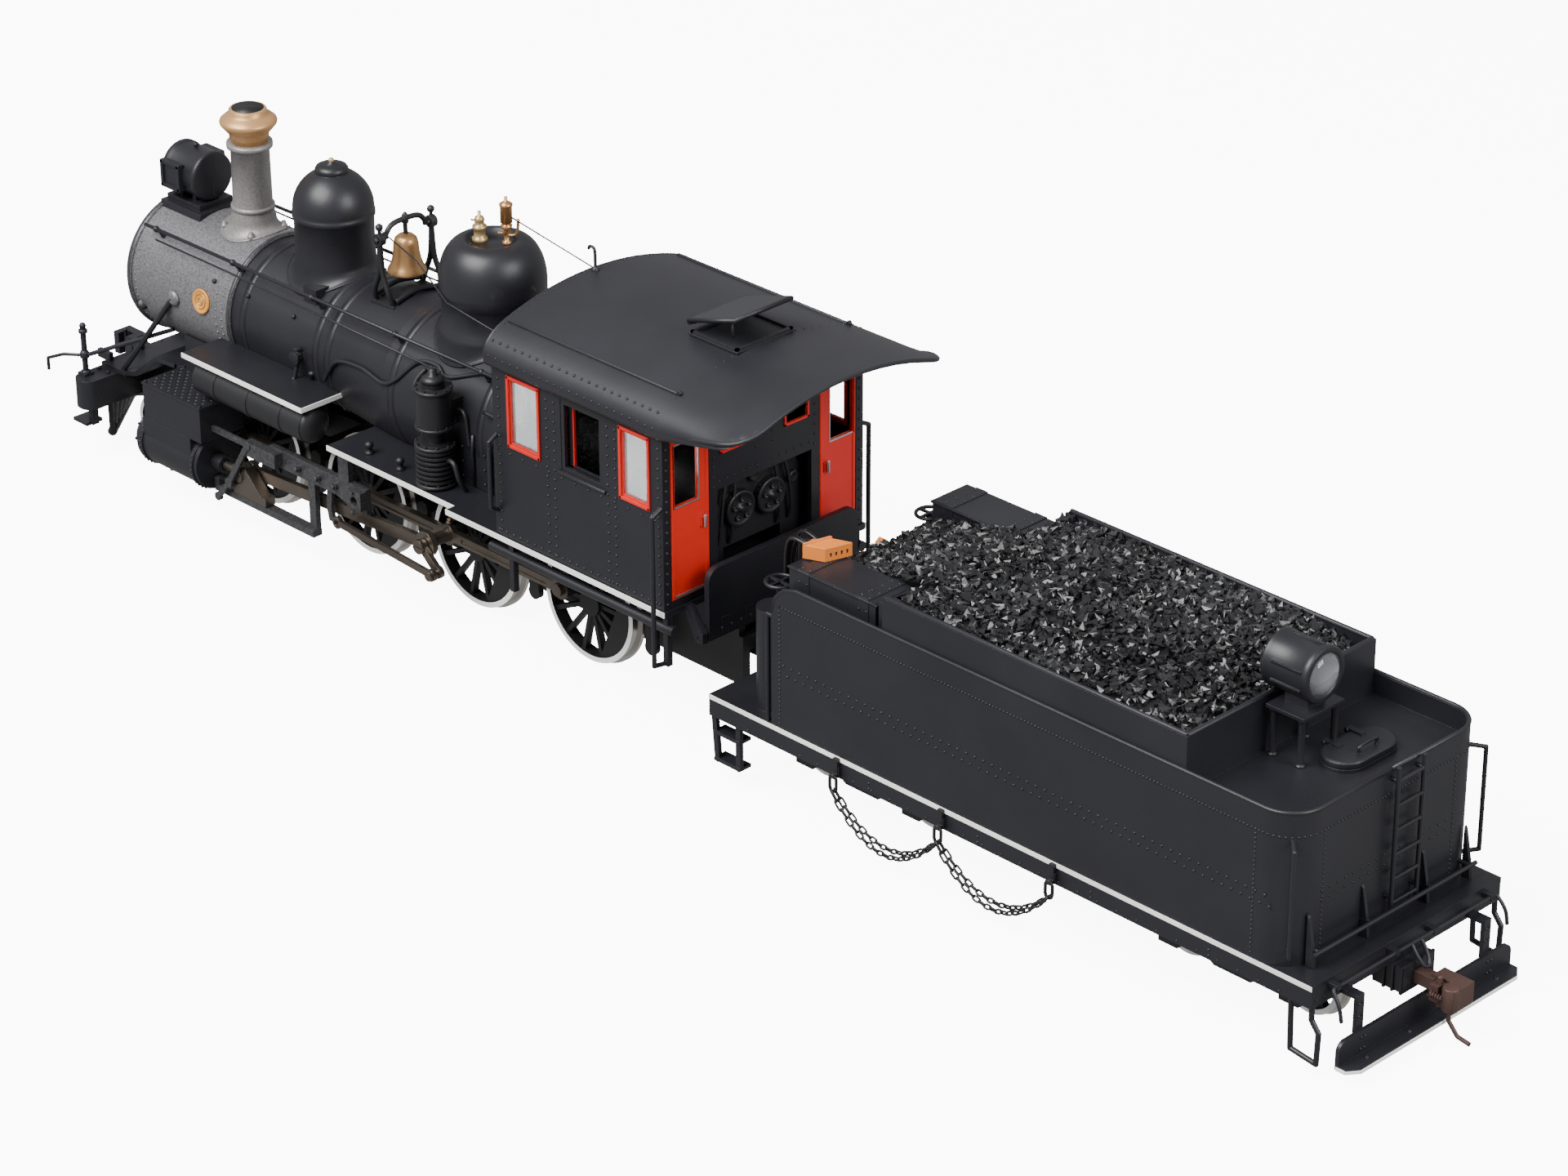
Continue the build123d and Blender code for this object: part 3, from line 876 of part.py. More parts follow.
# ---------------------------------------------------------------- tender trucks
for truck_x, place in zip(TRUCK_X, ("front", "rear")):
    with BuildPart() as truck:
        block((truck_x - 2.6, truck_x + 2.6), (-14.5, 14.5), (9.4, 11.6))
        disc_z(truck_x, 0, (7.0, 12.0), 1.25, Mode.SUBTRACT)
        for side in (1, -1):
            bar_y = (side * 12.4, side * 14.0)
            side_plate([(truck_x - 16.0, 8.4), (truck_x - 10.4, 8.4), (truck_x - 4.0, 4.0),
                        (truck_x + 4.0, 4.0), (truck_x + 10.4, 8.4), (truck_x + 16.0, 8.4),
                        (truck_x + 16.0, 9.6), (truck_x + 7.0, 11.6), (truck_x - 7.0, 11.6),
                        (truck_x - 16.0, 9.6)], bar_y)
            for window in (-1, 1):
                side_plate([(truck_x + window * 3.4, 6.0), (truck_x + window * 3.4, 10.2),
                            (truck_x + window * 8.4, 9.2)], (side * 12.0, side * 15.0), Mode.SUBTRACT)
                box_x = truck_x + window * TRUCK_HALF_BASE
                block((box_x - 2.1, box_x + 2.1), (side * 12.2, side * 15.2), (4.6, 9.2))
                disc_y(box_x, (side * 12.0, side * 14.0), TRUCK_FLANGE, 0.75, Mode.SUBTRACT)
    truck.part.label = f"truck_{place}"
    export_step(truck.part, f"parts/truck_{place}.step")

truck_axles = [truck_x + TRUCK_HALF_BASE * end for truck_x in TRUCK_X for end in (1, -1)]
for number, axle_x in enumerate(truck_axles, 1):
    with BuildPart() as truck_wheels:
        for side in (1, -1):
            wheel(axle_x, TRUCK_FLANGE, side, TRUCK_FLANGE, TRUCK_TREAD, 5.4, 9, 1.6, 0.7)
        disc_y(axle_x, (-WHEEL_OUT, WHEEL_OUT), TRUCK_FLANGE, 1.0)
        disc_y(axle_x, (-13.8, 13.8), TRUCK_FLANGE, 0.7)
    truck_wheels.part.label = f"truck_wheels_{number}"
    export_step(truck_wheels.part, f"parts/truck_wheels_{number}.step")

# ---------------------------------------------------------------- rear coupler, chain and harness
with BuildPart() as rear_coupler:
    disc_z(COUPLER_PIVOT_X, 0, (9.0, 11.3), 1.9)
    block((-171.0, COUPLER_PIVOT_X), (-1.2, 1.2), (9.0, 11.3))
    disc_z(COUPLER_PIVOT_X, 0, (8.0, 12.0), 0.85, Mode.SUBTRACT)
    block((-175.6, -170.4), (-2.4, 0.6), (8.0, 11.9))
    block((-176.6, -174.6), (-2.4, 2.8), (8.0, 11.9))
    block((-173.2, -171.4), (0.4, 2.8), (8.4, 11.5))
    bent_wire([(-172.6, -0.9, 8.6), (-173.0, -0.9, 3.4), (-175.0, -0.9, 1.2), (-177.6, -0.9, 0.8)], 0.4)
rear_coupler.part.label = "rear_coupler"
export_step(rear_coupler.part, "parts/rear_coupler.step")

with BuildPart() as side_chain:
    for side in (1, -1):
        for start, end in zip(CHAIN_X, CHAIN_X[1:]):
            span = end - start
            links = 13
            sag = [(start + span * i / links, side * 25.75,
                    14.2 - CHAIN_SAG * 4 * (i / links) * (1 - i / links)) for i in range(links + 1)]
            bent_wire(sag, 0.5)
        for bracket_x in CHAIN_X:
            disc_y(bracket_x, (side * 25.2, side * 26.2), 14.2, 0.7)
side_chain.part.label = "side_chain"
export_step(side_chain.part, "parts/side_chain.step")

with BuildPart() as harness_plug:
    plug_turn = -51.5
    with Locations(Location((-45.6, 15.2, 50.5), (0, 0, plug_turn))):
        Box(4.2, 8.3, 2.9)
    block((CORD_ROUTE[-1][0] - 2.0, CORD_ROUTE[-1][0]), (14.0, 16.0), (49.9, 51.9))
harness_plug.part.label = "harness_plug"
export_step(harness_plug.part, "parts/harness_plug.step")

runs = [(Vector(*b) - Vector(*a)) for a, b in zip(CORD_ROUTE, CORD_ROUTE[1:])]
bends = []
for before, after in zip(runs, runs[1:]):
    turn = radians(before.get_angle(after))
    shorter = min(before.length, after.length)
    bends.append(0.45 * shorter * cos(turn / 2) / sin(turn / 2))
print("cord bend radii", [round(radius, 2) for radius in bends])
with BuildPart() as harness_wires:
    with BuildLine() as route:
        FilletPolyline(*CORD_ROUTE, radius=bends)
    with BuildSketch(Plane(origin=CORD_ROUTE[0], z_dir=runs[0])) as section:
        Circle(CORD_DIA / 2)
    sweep(section.sketch, path=route.line)
cord_length = sum(edge.length for edge in route.edges())
print("cord length", round(cord_length, 2), "volume", round(harness_wires.part.volume, 3),
      "expected", round(cord_length * pi * CORD_DIA ** 2 / 4, 3))
harness_wires.part.label = "harness_wires"
export_step(harness_wires.part, "parts/harness_wires.step")
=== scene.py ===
import random
from math import cos, pi, radians, sin, sqrt

import bmesh
import bpy
from mathutils import Matrix, Vector


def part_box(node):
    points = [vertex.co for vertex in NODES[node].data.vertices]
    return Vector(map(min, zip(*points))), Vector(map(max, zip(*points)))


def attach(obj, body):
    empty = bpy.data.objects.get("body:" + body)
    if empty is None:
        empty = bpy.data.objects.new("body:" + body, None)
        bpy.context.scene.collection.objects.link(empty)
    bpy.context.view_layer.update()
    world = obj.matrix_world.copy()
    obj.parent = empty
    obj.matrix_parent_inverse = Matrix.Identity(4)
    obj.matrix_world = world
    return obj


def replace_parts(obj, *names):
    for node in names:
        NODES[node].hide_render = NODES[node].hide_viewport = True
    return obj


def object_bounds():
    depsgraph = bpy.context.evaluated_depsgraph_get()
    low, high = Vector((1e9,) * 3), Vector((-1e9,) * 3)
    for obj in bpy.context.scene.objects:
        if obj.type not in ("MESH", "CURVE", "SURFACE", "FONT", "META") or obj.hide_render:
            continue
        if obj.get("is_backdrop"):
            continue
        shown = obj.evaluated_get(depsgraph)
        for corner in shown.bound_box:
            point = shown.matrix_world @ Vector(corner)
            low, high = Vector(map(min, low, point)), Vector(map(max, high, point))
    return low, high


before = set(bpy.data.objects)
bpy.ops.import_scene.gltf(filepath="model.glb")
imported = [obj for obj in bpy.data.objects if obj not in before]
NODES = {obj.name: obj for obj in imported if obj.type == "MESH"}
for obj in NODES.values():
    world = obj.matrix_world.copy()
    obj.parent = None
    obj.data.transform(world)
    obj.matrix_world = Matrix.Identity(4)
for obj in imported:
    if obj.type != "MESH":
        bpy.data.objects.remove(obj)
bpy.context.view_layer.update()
MM = 0.001
random.seed(7)


def span(node):
    """Lowest and highest corner of a CAD node, in millimetres."""
    low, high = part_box(node)
    return Vector(low) / MM, Vector(high) / MM


# ---------------------------------------------------------------- materials
def material(name, colour, roughness, metallic=0.0, second=None, grain=900.0, bump=0.0, edge=0.00012,
             rough_spread=0.12, stretch=(1, 1, 1), coat=0.0, fleck=None):
    """Painted or bare metal: two mottled tones, uneven gloss, fine bump and softened edges."""
    mat = bpy.data.materials.new(name)
    mat.use_nodes = True
    nodes, links = mat.node_tree.nodes, mat.node_tree.links
    shader = nodes["Principled BSDF"]
    place = nodes.new("ShaderNodeTexCoord")
    scale = nodes.new("ShaderNodeMapping")
    scale.inputs["Scale"].default_value = stretch
    links.new(place.outputs["Object"], scale.inputs["Vector"])
    fine = nodes.new("ShaderNodeTexNoise")
    fine.inputs["Scale"].default_value = grain
    fine.inputs["Detail"].default_value = 4
    broad = nodes.new("ShaderNodeTexNoise")
    broad.inputs["Scale"].default_value = 60
    broad.inputs["Detail"].default_value = 5
    links.new(scale.outputs[0], fine.inputs["Vector"])
    links.new(place.outputs["Object"], broad.inputs["Vector"])
    tone = nodes.new("ShaderNodeValToRGB")
    tone.color_ramp.elements[0].position = 0.35
    tone.color_ramp.elements[1].position = 0.65
    tone.color_ramp.elements[0].color = (*colour, 1)
    tone.color_ramp.elements[1].color = (*(second or [c * 1.25 for c in colour]), 1)
    links.new((fine if fleck else broad).outputs["Fac"], tone.inputs["Fac"])
    links.new(tone.outputs["Color"], shader.inputs["Base Color"])
    gloss = nodes.new("ShaderNodeMapRange")
    gloss.inputs["To Min"].default_value = max(0.03, roughness - rough_spread / 2)
    gloss.inputs["To Max"].default_value = roughness + rough_spread / 2
    links.new(broad.outputs["Fac"], gloss.inputs["Value"])
    links.new(gloss.outputs["Result"], shader.inputs["Roughness"])
    shader.inputs["Metallic"].default_value = metallic
    shader.inputs["Coat Weight"].default_value = coat
    shader.inputs["Coat Roughness"].default_value = 0.15
    relief = nodes.new("ShaderNodeBump")
    relief.inputs["Strength"].default_value = bump
    relief.inputs["Distance"].default_value = 0.0001
    links.new(fine.outputs["Fac"], relief.inputs["Height"])
    if edge:
        soft = nodes.new("ShaderNodeBevel")
        soft.samples = 4
        soft.inputs["Radius"].default_value = edge
        links.new(soft.outputs[0], relief.inputs["Normal"])
    links.new(relief.outputs[0], shader.inputs["Normal"])
    return mat


BLACK = material("satin_black", (0.011, 0.011, 0.0145), 0.42, bump=0.12)
ROOF_BLACK = material("roof_black", (0.014, 0.014, 0.018), 0.46, bump=0.14)
DEEP_BLACK = material("deep_black", (0.007, 0.007, 0.008), 0.5, bump=0.1)
CAST_BLACK = material("cast_black", (0.010, 0.010, 0.012), 0.48, bump=0.3, grain=1500)
GRAPHITE = material("graphite", (0.13, 0.125, 0.135), 0.42, 0.45, (0.24, 0.235, 0.245), 2600, 0.25,
                    fleck=True)
GREY_IRON = material("grey_iron", (0.06, 0.06, 0.065), 0.4, 0.6, (0.10, 0.10, 0.105), 1600, 0.3,
                     fleck=True)
STACK_GREY = material("stack_grey", (0.22, 0.21, 0.205), 0.42, 0.35, (0.30, 0.285, 0.28), 2600, 0.15,
                      fleck=True)
ROD_STEEL = material("rod_steel", (0.15, 0.125, 0.105), 0.32, 0.9, (0.21, 0.18, 0.15), 900, 0.12,
                     stretch=(0.15, 1, 1))
NICKEL = material("nickel", (0.55, 0.53, 0.50), 0.22, 1.0, grain=700, bump=0.05)
WHITE_RIM = material("white_rim", (0.86, 0.86, 0.84), 0.42, bump=0.1)
WHITE_EDGE = material("white_edge", (0.92, 0.91, 0.88), 0.4, bump=0.05)
BRONZE = material("bronze", (0.50, 0.27, 0.11), 0.34, 0.75, (0.60, 0.34, 0.15), 900, 0.12)
CAP_BRONZE = material("cap_bronze", (0.56, 0.31, 0.13), 0.42, 0.45, (0.64, 0.37, 0.16), 1400, 0.15)
BRASS = material("brass", (0.50, 0.35, 0.16), 0.36, 0.6, grain=800, bump=0.06)
RED = material("red_enamel", (0.62, 0.016, 0.010), 0.36, bump=0.06, second=(0.68, 0.022, 0.014))
# Lighter copy of the red enamel for the left door and its trims: painted light, which makes the left
# door brighter than the same paint on the right door.
RED_DOOR_PAINTED_LIGHT = material("red_door_painted_light", (0.70, 0.020, 0.010), 0.40, bump=0.06, second=(0.76, 0.028, 0.014))
SILVER = material("silver_trim", (0.62, 0.62, 0.63), 0.3, 0.9, grain=700, bump=0.05)
RUST = material("rust_brown", (0.062, 0.034, 0.028), 0.5, 0.3, (0.095, 0.052, 0.042), 1800, 0.4)
COAL = material("coal", (0.006, 0.006, 0.007), 0.30, 0.0, (0.014, 0.014, 0.016), 2200, 0.2, edge=0,
                rough_spread=0.2, coat=0.12)
ORANGE = material("orange_nylon", (0.72, 0.20, 0.028), 0.42, bump=0.05, second=(0.76, 0.22, 0.034))
PLATE_GOLD = material("plate_gold", (0.66, 0.28, 0.045), 0.42, 0.2, grain=800, bump=0.06)
WIRE = material("wire_black", (0.012, 0.012, 0.012), 0.35, bump=0.03, edge=0)
MOTOR = material("motor_can", (0.45, 0.45, 0.46), 0.3, 0.9, grain=900, bump=0.05)


def glass(name, tint, roughness):
    """Clear glazing, faintly tinted."""
    mat = material(name, tint, roughness, edge=0)
    mat.node_tree.nodes["Principled BSDF"].inputs["Transmission Weight"].default_value = 0.92
    return mat


GLASS = glass("clear_glass", (0.85, 0.9, 0.9), 0.04)

FINISH = {
    "smokebox": GRAPHITE, "smokebox_door": GRAPHITE, "smokestack": STACK_GREY, "stack_cap": CAP_BRONZE,
    "bell": BRONZE, "steam_fittings": BRASS, "worm_shaft": BRASS, "drive_motor": MOTOR,
    # The left door takes the lighter red copy: painted light.
    "cab_roof": ROOF_BLACK, "cab_door_left": RED_DOOR_PAINTED_LIGHT, "cab_door_right": RED, "window_frames": RED,
    "window_glass": GLASS, "coal_load": COAL, "harness_plug": ORANGE, "harness_wires": WIRE,
    "rear_coupler": RUST, "guide_hangers": GREY_IRON, "cylinders": BLACK, "loco_frame": DEEP_BLACK,
    "pilot_truck": DEEP_BLACK, "truck_front": CAST_BLACK, "truck_rear": CAST_BLACK,
    "drawbar": DEEP_BLACK, "backhead": CAST_BLACK, "air_equipment": CAST_BLACK,
}
for name, node in NODES.items():
    if name.startswith(("side_rod", "main_rod", "eccentric_rod", "crosshead")):
        finishes = [ROD_STEEL]
    elif "wheels" in name:
        finishes = [DEEP_BLACK, WHITE_RIM, NICKEL, ROD_STEEL]
    else:
        finishes = [FINISH.get(name, BLACK)]
    node.data.materials.clear()
    for finish in finishes:
        node.data.materials.append(finish)

# Wheels: nickel treads and flanges, white tyre faces, steel crank pins, black centres.
DRIVER_FLANGE, PILOT_FLANGE = 12.6, 7.05                # radii over the flanges
DRIVER_FACE, PILOT_FACE, TRUCK_FACE = 10.9, 5.4, 4.9    # radii where the tyres start
HUB_Y, TYRE_Y = 10.95, 9.9                              # distances from the middle of the track
RIM_SLOT, TREAD_SLOT, PIN_SLOT = 1, 2, 3                # slots of the wheels' finishes
for name, node in NODES.items():
    if "wheels" not in name:
        continue
    low, high = span(name)
    centre = (low + high) / 2
    flange = (high.z - low.z) / 2
    if name.startswith("driver"):
        centre.x, centre.z, flange = round((low.x + high.x) / 2), DRIVER_FLANGE, DRIVER_FLANGE
    tyre = {DRIVER_FLANGE: DRIVER_FACE, PILOT_FLANGE: PILOT_FACE}.get(round(flange, 2), TRUCK_FACE)
    world = node.matrix_world
    for face in node.data.polygons:
        middle = (world @ face.center) / MM
        facing = world.to_3x3() @ face.normal
        reach = sqrt((middle.x - centre.x) ** 2 + (middle.z - centre.z) ** 2)
        side_y = abs(middle.y)
        if side_y > HUB_Y:
            face.material_index = PIN_SLOT
        elif reach > tyre * 0.985 and abs(facing.y) > 0.7 and side_y > TYRE_Y:
            face.material_index = RIM_SLOT
        elif reach > tyre * 1.02:
            face.material_index = TREAD_SLOT

# The middle side windows stand open: their frames are black.
window_frames = NODES["window_frames"]
window_frames.data.materials.append(BLACK)
for face in window_frames.data.polygons:
    if 0 < (window_frames.matrix_world @ face.center).x / MM < 14:
        face.material_index = 1


# ---------------------------------------------------------------- mesh building, in millimetres
RIVET_SCALE = 1.25


def grid(rows, columns, rows_closed=False, columns_closed=True):
    """Four-sided faces between rows of points."""
    faces = []
    for row in range(rows if rows_closed else rows - 1):
        after = (row + 1) % rows
        for i in range(columns if columns_closed else columns - 1):
            j = (i + 1) % columns
            faces.append((row * columns + i, row * columns + j, after * columns + j,
                          after * columns + i))
    return faces


def caps(rows, columns):
    """First and last row as faces."""
    return [tuple(range(columns))[::-1], tuple(range((rows - 1) * columns, rows * columns))]


class Shape:
    """Collects mesh pieces and becomes one object."""

    def __init__(self, *materials):
        self.mesh = bmesh.new()
        self.materials = materials
        self.slot = 0

    def add(self, points, faces, smooth=False):
        corners = [self.mesh.verts.new(point) for point in points]
        for face in faces:
            made = self.mesh.faces.new([corners[i] for i in face])
            made.material_index = self.slot
            made.smooth = smooth

    def box(self, x, y, z):
        points = [(a, b, c) for a in sorted(x) for b in sorted(y) for c in sorted(z)]
        self.add(points, [(0, 1, 3, 2), (4, 6, 7, 5), (0, 4, 5, 1), (2, 3, 7, 6), (0, 2, 6, 4),
                          (1, 5, 7, 3)])

    def prism(self, outline, axis, width):
        """Outline extruded along an axis; the outline's two values follow the other axes in order."""
        def point(value, pair):
            spot = list(pair)
            spot.insert(axis, value)
            return tuple(spot)
        count = len(outline)
        points = [point(value, pair) for value in width for pair in outline]
        self.add(points, grid(2, count) + caps(2, count))

    def turned(self, profile, centre, axis=(0, 0, 1), sides=48, smooth=True):
        """Body turned about an axis through centre; the profile is (radius, height) pairs."""
        axis = Vector(axis).normalized()
        across = axis.orthogonal().normalized()
        other = axis.cross(across)
        points = []
        for radius, height in profile:
            for i in range(sides):
                angle = 2 * pi * i / sides
                points.append(Vector(centre) + axis * height
                              + (across * cos(angle) + other * sin(angle)) * radius)
        self.add(points, grid(len(profile), sides) + caps(len(profile), sides), smooth)

    def tube(self, path, radius, sides=10, closed=False):
        """Round bar along a path of points."""
        path = [Vector(p) for p in path]
        count = len(path)
        side = None
        points = []
        for i, spot in enumerate(path):
            if closed:
                run = path[(i + 1) % count] - path[i - 1]
            else:
                run = path[min(i + 1, count - 1)] - path[max(i - 1, 0)]
            run.normalize()
            side = (run.orthogonal() if side is None else side - run * side.dot(run)).normalized()
            other = run.cross(side)
            for k in range(sides):
                angle = 2 * pi * k / sides
                points.append(spot + (side * cos(angle) + other * sin(angle)) * radius)
        self.add(points, grid(count, sides, closed) + ([] if closed else caps(count, sides)), True)

    def rivet(self, spot, normal, radius=0.28, sides=8):
        """Low domed rivet head."""
        normal = Vector(normal).normalized()
        side = normal.orthogonal().normalized()
        other = normal.cross(side)
        radius *= RIVET_SCALE
        points = []
        for share, rise in ((1.0, 0.0), (0.8, 0.6)):
            for k in range(sides):
                angle = 2 * pi * k / sides
                points.append(Vector(spot) + normal * rise * radius
                              + (side * cos(angle) + other * sin(angle)) * radius * share)
        points.append(Vector(spot) + normal * radius * 0.95)
        tip = [(k + sides, (k + 1) % sides + sides, 2 * sides) for k in range(sides)]
        self.add(points, grid(2, sides) + tip, True)

    def rivets(self, start, end, pitch, normal, radius=0.28):
        """Row of rivets from start to end."""
        start, end = Vector(start), Vector(end)
        count = max(1, round((end - start).length / pitch))
        for i in range(count + 1):
            self.rivet(start.lerp(end, i / count), normal, radius)

    def bolt(self, spot, axis, radius, height, sides=6):
        """Hexagonal bolt head."""
        self.turned([(radius, 0), (radius, height * 0.85), (radius * 0.85, height)], spot, axis, sides,
                    False)

    def done(self, name, body, bevel=0.0):
        """Makes the object and lets it ride on a body."""
        bmesh.ops.recalc_face_normals(self.mesh, faces=self.mesh.faces)
        bmesh.ops.scale(self.mesh, vec=(MM, MM, MM), verts=self.mesh.verts)
        data = bpy.data.meshes.new(name)
        self.mesh.to_mesh(data)
        self.mesh.free()
        for mat in self.materials:
            data.materials.append(mat)
        piece = bpy.data.objects.new(name, data)
        bpy.context.collection.objects.link(piece)
        if bevel:
            soften = piece.modifiers.new("edges", "BEVEL")
            soften.width = bevel * MM
            soften.segments = 2
            soften.limit_method = "ANGLE"
            soften.angle_limit = radians(40)
        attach(piece, body)
        return piece


def smooth_path(points, steps=8, closed=False):
    """Catmull-Rom curve through the points."""
    points = [Vector(p) for p in points]
    count = len(points)
    path = []
    for i in range(count if closed else count - 1):
        if closed:
            before, start, end, after = (points[(i + k) % count] for k in (-1, 0, 1, 2))
        else:
            start, end = points[i], points[i + 1]
            before, after = points[max(i - 1, 0)], points[min(i + 2, count - 1)]
        for step in range(steps):
            t = step / steps
            path.append(0.5 * (2 * start + (end - before) * t
                               + (2 * before - 5 * start + 4 * end - after) * t * t
                               + (3 * start - before - 3 * end + after) * t ** 3))
    if not closed:
        path.append(points[-1])
    return path


# ---------------------------------------------------------------- tender
tank_high = span("tender_tank")[1]
HALF = 24.5                              # half width of the tank and of the deck
DECK_TOP = 17.2
COPING = 45.6
TANK_FRONT, TANK_REAR = tank_high.x, -159.3
BUNKER_REAR, BUNKER_FRONT, BUNKER_TOP = -135.8, -67.0, 51.8
CORNER = 6.6


def tender_body():
    """Rivet seams, coping bead, rail stripe and rear details of the tank."""
    rivets = Shape(BLACK)
    seam_z, double_z = COPING - 4.3, (30.0, 28.2)
    side_rear = TANK_REAR + CORNER
    for side in (1, -1):
        y = side * HALF
        rivets.rivets((TANK_FRONT - 2, y, seam_z), (side_rear, y, seam_z), 0.8, (0, side, 0), 0.17)
        for step, z in enumerate(double_z):
            rivets.rivets((TANK_FRONT - 3 - step, y, z), (side_rear - 1 - step, y, z), 2.0, (0, side, 0),
                          0.2)
        for x in (TANK_FRONT - 2, side_rear + 1.5):
            rivets.rivets((x, y, seam_z), (x, y, DECK_TOP + 1), 0.85, (0, side, 0), 0.17)
        rivets.rivets((TANK_REAR, side * 16.8, seam_z), (TANK_REAR, side * 16.8, DECK_TOP + 1), 0.9,
                      (-1, 0, 0), 0.17)
        for angle in range(8, 90, 9):
            lean = radians(angle)
            rivets.rivet((side_rear - CORNER * sin(lean), side * (HALF - CORNER + CORNER * cos(lean)),
                          seam_z), (-sin(lean), side * cos(lean), 0), 0.17)
        for x in (TANK_FRONT - 24, TANK_FRONT - 50, TANK_FRONT - 76, TANK_FRONT - 102):
            for z in (13.7, 14.8):
                rivets.rivet((x, y, z), (0, side, 0), 0.2)
        for step in range(30):
            rivets.rivet((-30.0 - step * 4.4, y, 13.6), (0, side, 0), 0.17)
    for z, pitch in ((seam_z, 0.85), (30.0, 2.0), (28.2, 2.0)):
        rivets.rivets((TANK_REAR, -17, z), (TANK_REAR, 17, z), pitch, (-1, 0, 0), 0.17)
    rivets.done("tank_rivets", "tender")

    bead = Shape(BLACK)
    for side in (1, -1):
        front = [(TANK_FRONT - 6 + 6 * cos(radians(a)), COPING - 6 + 6 * sin(radians(a)))
                 for a in (0, 30, 60, 90)]
        path = [(x, side * (HALF - 0.3), z) for x, z in front]
        path += [(TANK_REAR + CORNER, side * (HALF - 0.3), COPING)]
        path += [(TANK_REAR + CORNER - (CORNER - 0.3) * sin(radians(a)),
                  side * (HALF - CORNER + (CORNER - 0.3) * cos(radians(a))), COPING)
                 for a in range(10, 91, 10)]
        path += [(TANK_REAR + 0.3, 0, COPING)]
        bead.tube(path, 0.42, 8)
    bead.done("coping_bead", "tender")

    stripe = Shape(WHITE_EDGE)
    for side in (1, -1):
        stripe.box((-24.5, -164.4), (side * HALF, side * (HALF + 0.12)), (16.25, DECK_TOP))
    stripe.done("deck_stripe", "tender", 0.04)

    wall = Shape(BLACK)
    for side in (1, -1):
        wall.tube([(BUNKER_FRONT - 0.2, side * 23.5, BUNKER_TOP),
                   (BUNKER_REAR + 0.4, side * 23.5, BUNKER_TOP)], 0.5, 8)
    wall.tube([(BUNKER_REAR + 0.45, -23.5, BUNKER_TOP), (BUNKER_REAR + 0.45, 23.5, BUNKER_TOP)], 0.5, 8)
    for y in (-20.5, -9.3, 6.3, 20.0):
        lean = [(TANK_REAR, DECK_TOP), (TANK_REAR - 1.8, DECK_TOP), (TANK_REAR - 1.5, DECK_TOP + 3.2),
                (TANK_REAR - 0.35, DECK_TOP + 9.0), (TANK_REAR, DECK_TOP + 9.6)]
        wall.prism(lean, 1, (y - 0.35, y + 0.35))
    wall.done("bunker_bead_and_braces", "tender", 0.08)

    boxes = Shape(BLACK)
    box_x, box_top = (-64.0, -43.0), 49.0
    for side in (1, -1):
        for x in (box_x[0] + 3.0, box_x[1] - 3.6):
            boxes.box((x - 1.4, x + 1.4), (side * 13.4, side * 22.65), (43.0, box_top + 0.18))
        boxes.box((box_x[0] - 0.5, box_x[1] + 0.3), (side * 13.2, side * 22.75),
                  (box_top - 0.5, box_top - 0.1))
    boxes.done("tool_box_bands", "tender", 0.08)
    dots = Shape(BLACK)
    for side in (1, -1):
        for x in (box_x[0] + 3.0, box_x[1] - 3.6):
            for dx in (-0.9, 0.9):
                dots.rivets((x + dx, side * 14.4, box_top + 0.18), (x + dx, side * 21.8, box_top + 0.18),
                            2.4, (0, 0, 1), 0.18)
                dots.rivet((x + dx, side * 22.65, 46.8), (0, side, 0), 0.18)
    dots.done("tool_box_rivets", "tender")


def coal_height(x, y):
    """Height of the coal's surface over the bunker."""
    across = 1 - (abs(y) / 24.0) ** 2.4
    if x > BUNKER_FRONT:
        fall = (x - BUNKER_FRONT) / 25.0
        return 50.6 - 6.0 * fall + 1.0 * across
    along = (x - BUNKER_REAR) / (BUNKER_FRONT - BUNKER_REAR)
    return 49.4 + 2.0 * min(1, along * 5) + 2.6 * across * sin(pi * min(1, 0.08 + along * 0.9)) ** 0.6


def coal():
    """Heap of broken lumps over a dark bed."""
    bed = Shape(COAL)
    xs = [BUNKER_REAR + 1.0 + i * 1.2 for i in range(int((BUNKER_FRONT - BUNKER_REAR - 1.0) / 1.2))]
    for zone_x, half in ((xs, 23.0), ([BUNKER_FRONT - 0.6 + i * 1.2 for i in range(20)], 13.2)):
        ys = [-half + i * half / 12 for i in range(25)]
        points = [(x, y, coal_height(x, y) - 0.7) for x in zone_x for y in ys]
        bed.add(points, grid(len(zone_x), len(ys), columns_closed=False), True)
    bed.done("coal_bed", "tender")
    lumps = Shape(COAL)
    corners = [(1, 1, 1), (1, -1, -1), (-1, 1, -1), (-1, -1, 1), (1.2, 0, -0.2), (-0.2, 1.2, 0.3),
               (0.1, -0.3, -1.2), (-1.1, 0.2, 0.5)]
    spots = []
    for i in range(6200):
        if i % 5:
            spots.append((random.uniform(BUNKER_REAR + 1.4, BUNKER_FRONT - 0.5),
                          random.uniform(-22.6, 22.6)))
        else:
            spots.append((random.uniform(BUNKER_FRONT - 0.5, -44.8), random.uniform(-13.0, 13.0)))
    for x, y in spots:
        size = random.uniform(0.28, 0.78) * (1.25 if random.random() < 0.12 else 1)
        turn = Matrix.Rotation(random.uniform(0, 2 * pi), 3,
                               Vector((random.gauss(0, 1), random.gauss(0, 1), 1)))
        spot = Vector((x, y, coal_height(x, y) - random.uniform(0.0, 0.5)))
        points = [spot + turn @ (Vector(c) * size * random.uniform(0.6, 1.1)) for c in corners]
        hull = bmesh.new()
        for point in points:
            hull.verts.new(point)
        bmesh.ops.convex_hull(hull, input=hull.verts)
        hull.verts.index_update()
        used = [v for v in hull.verts if v.link_faces]
        place = {v: i for i, v in enumerate(used)}
        lumps.add([v.co.copy() for v in used], [[place[v] for v in f.verts] for f in hull.faces])
        hull.free()
    lump_piece = lumps.done("coal_lumps", "tender")
    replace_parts(lump_piece, "coal_load")


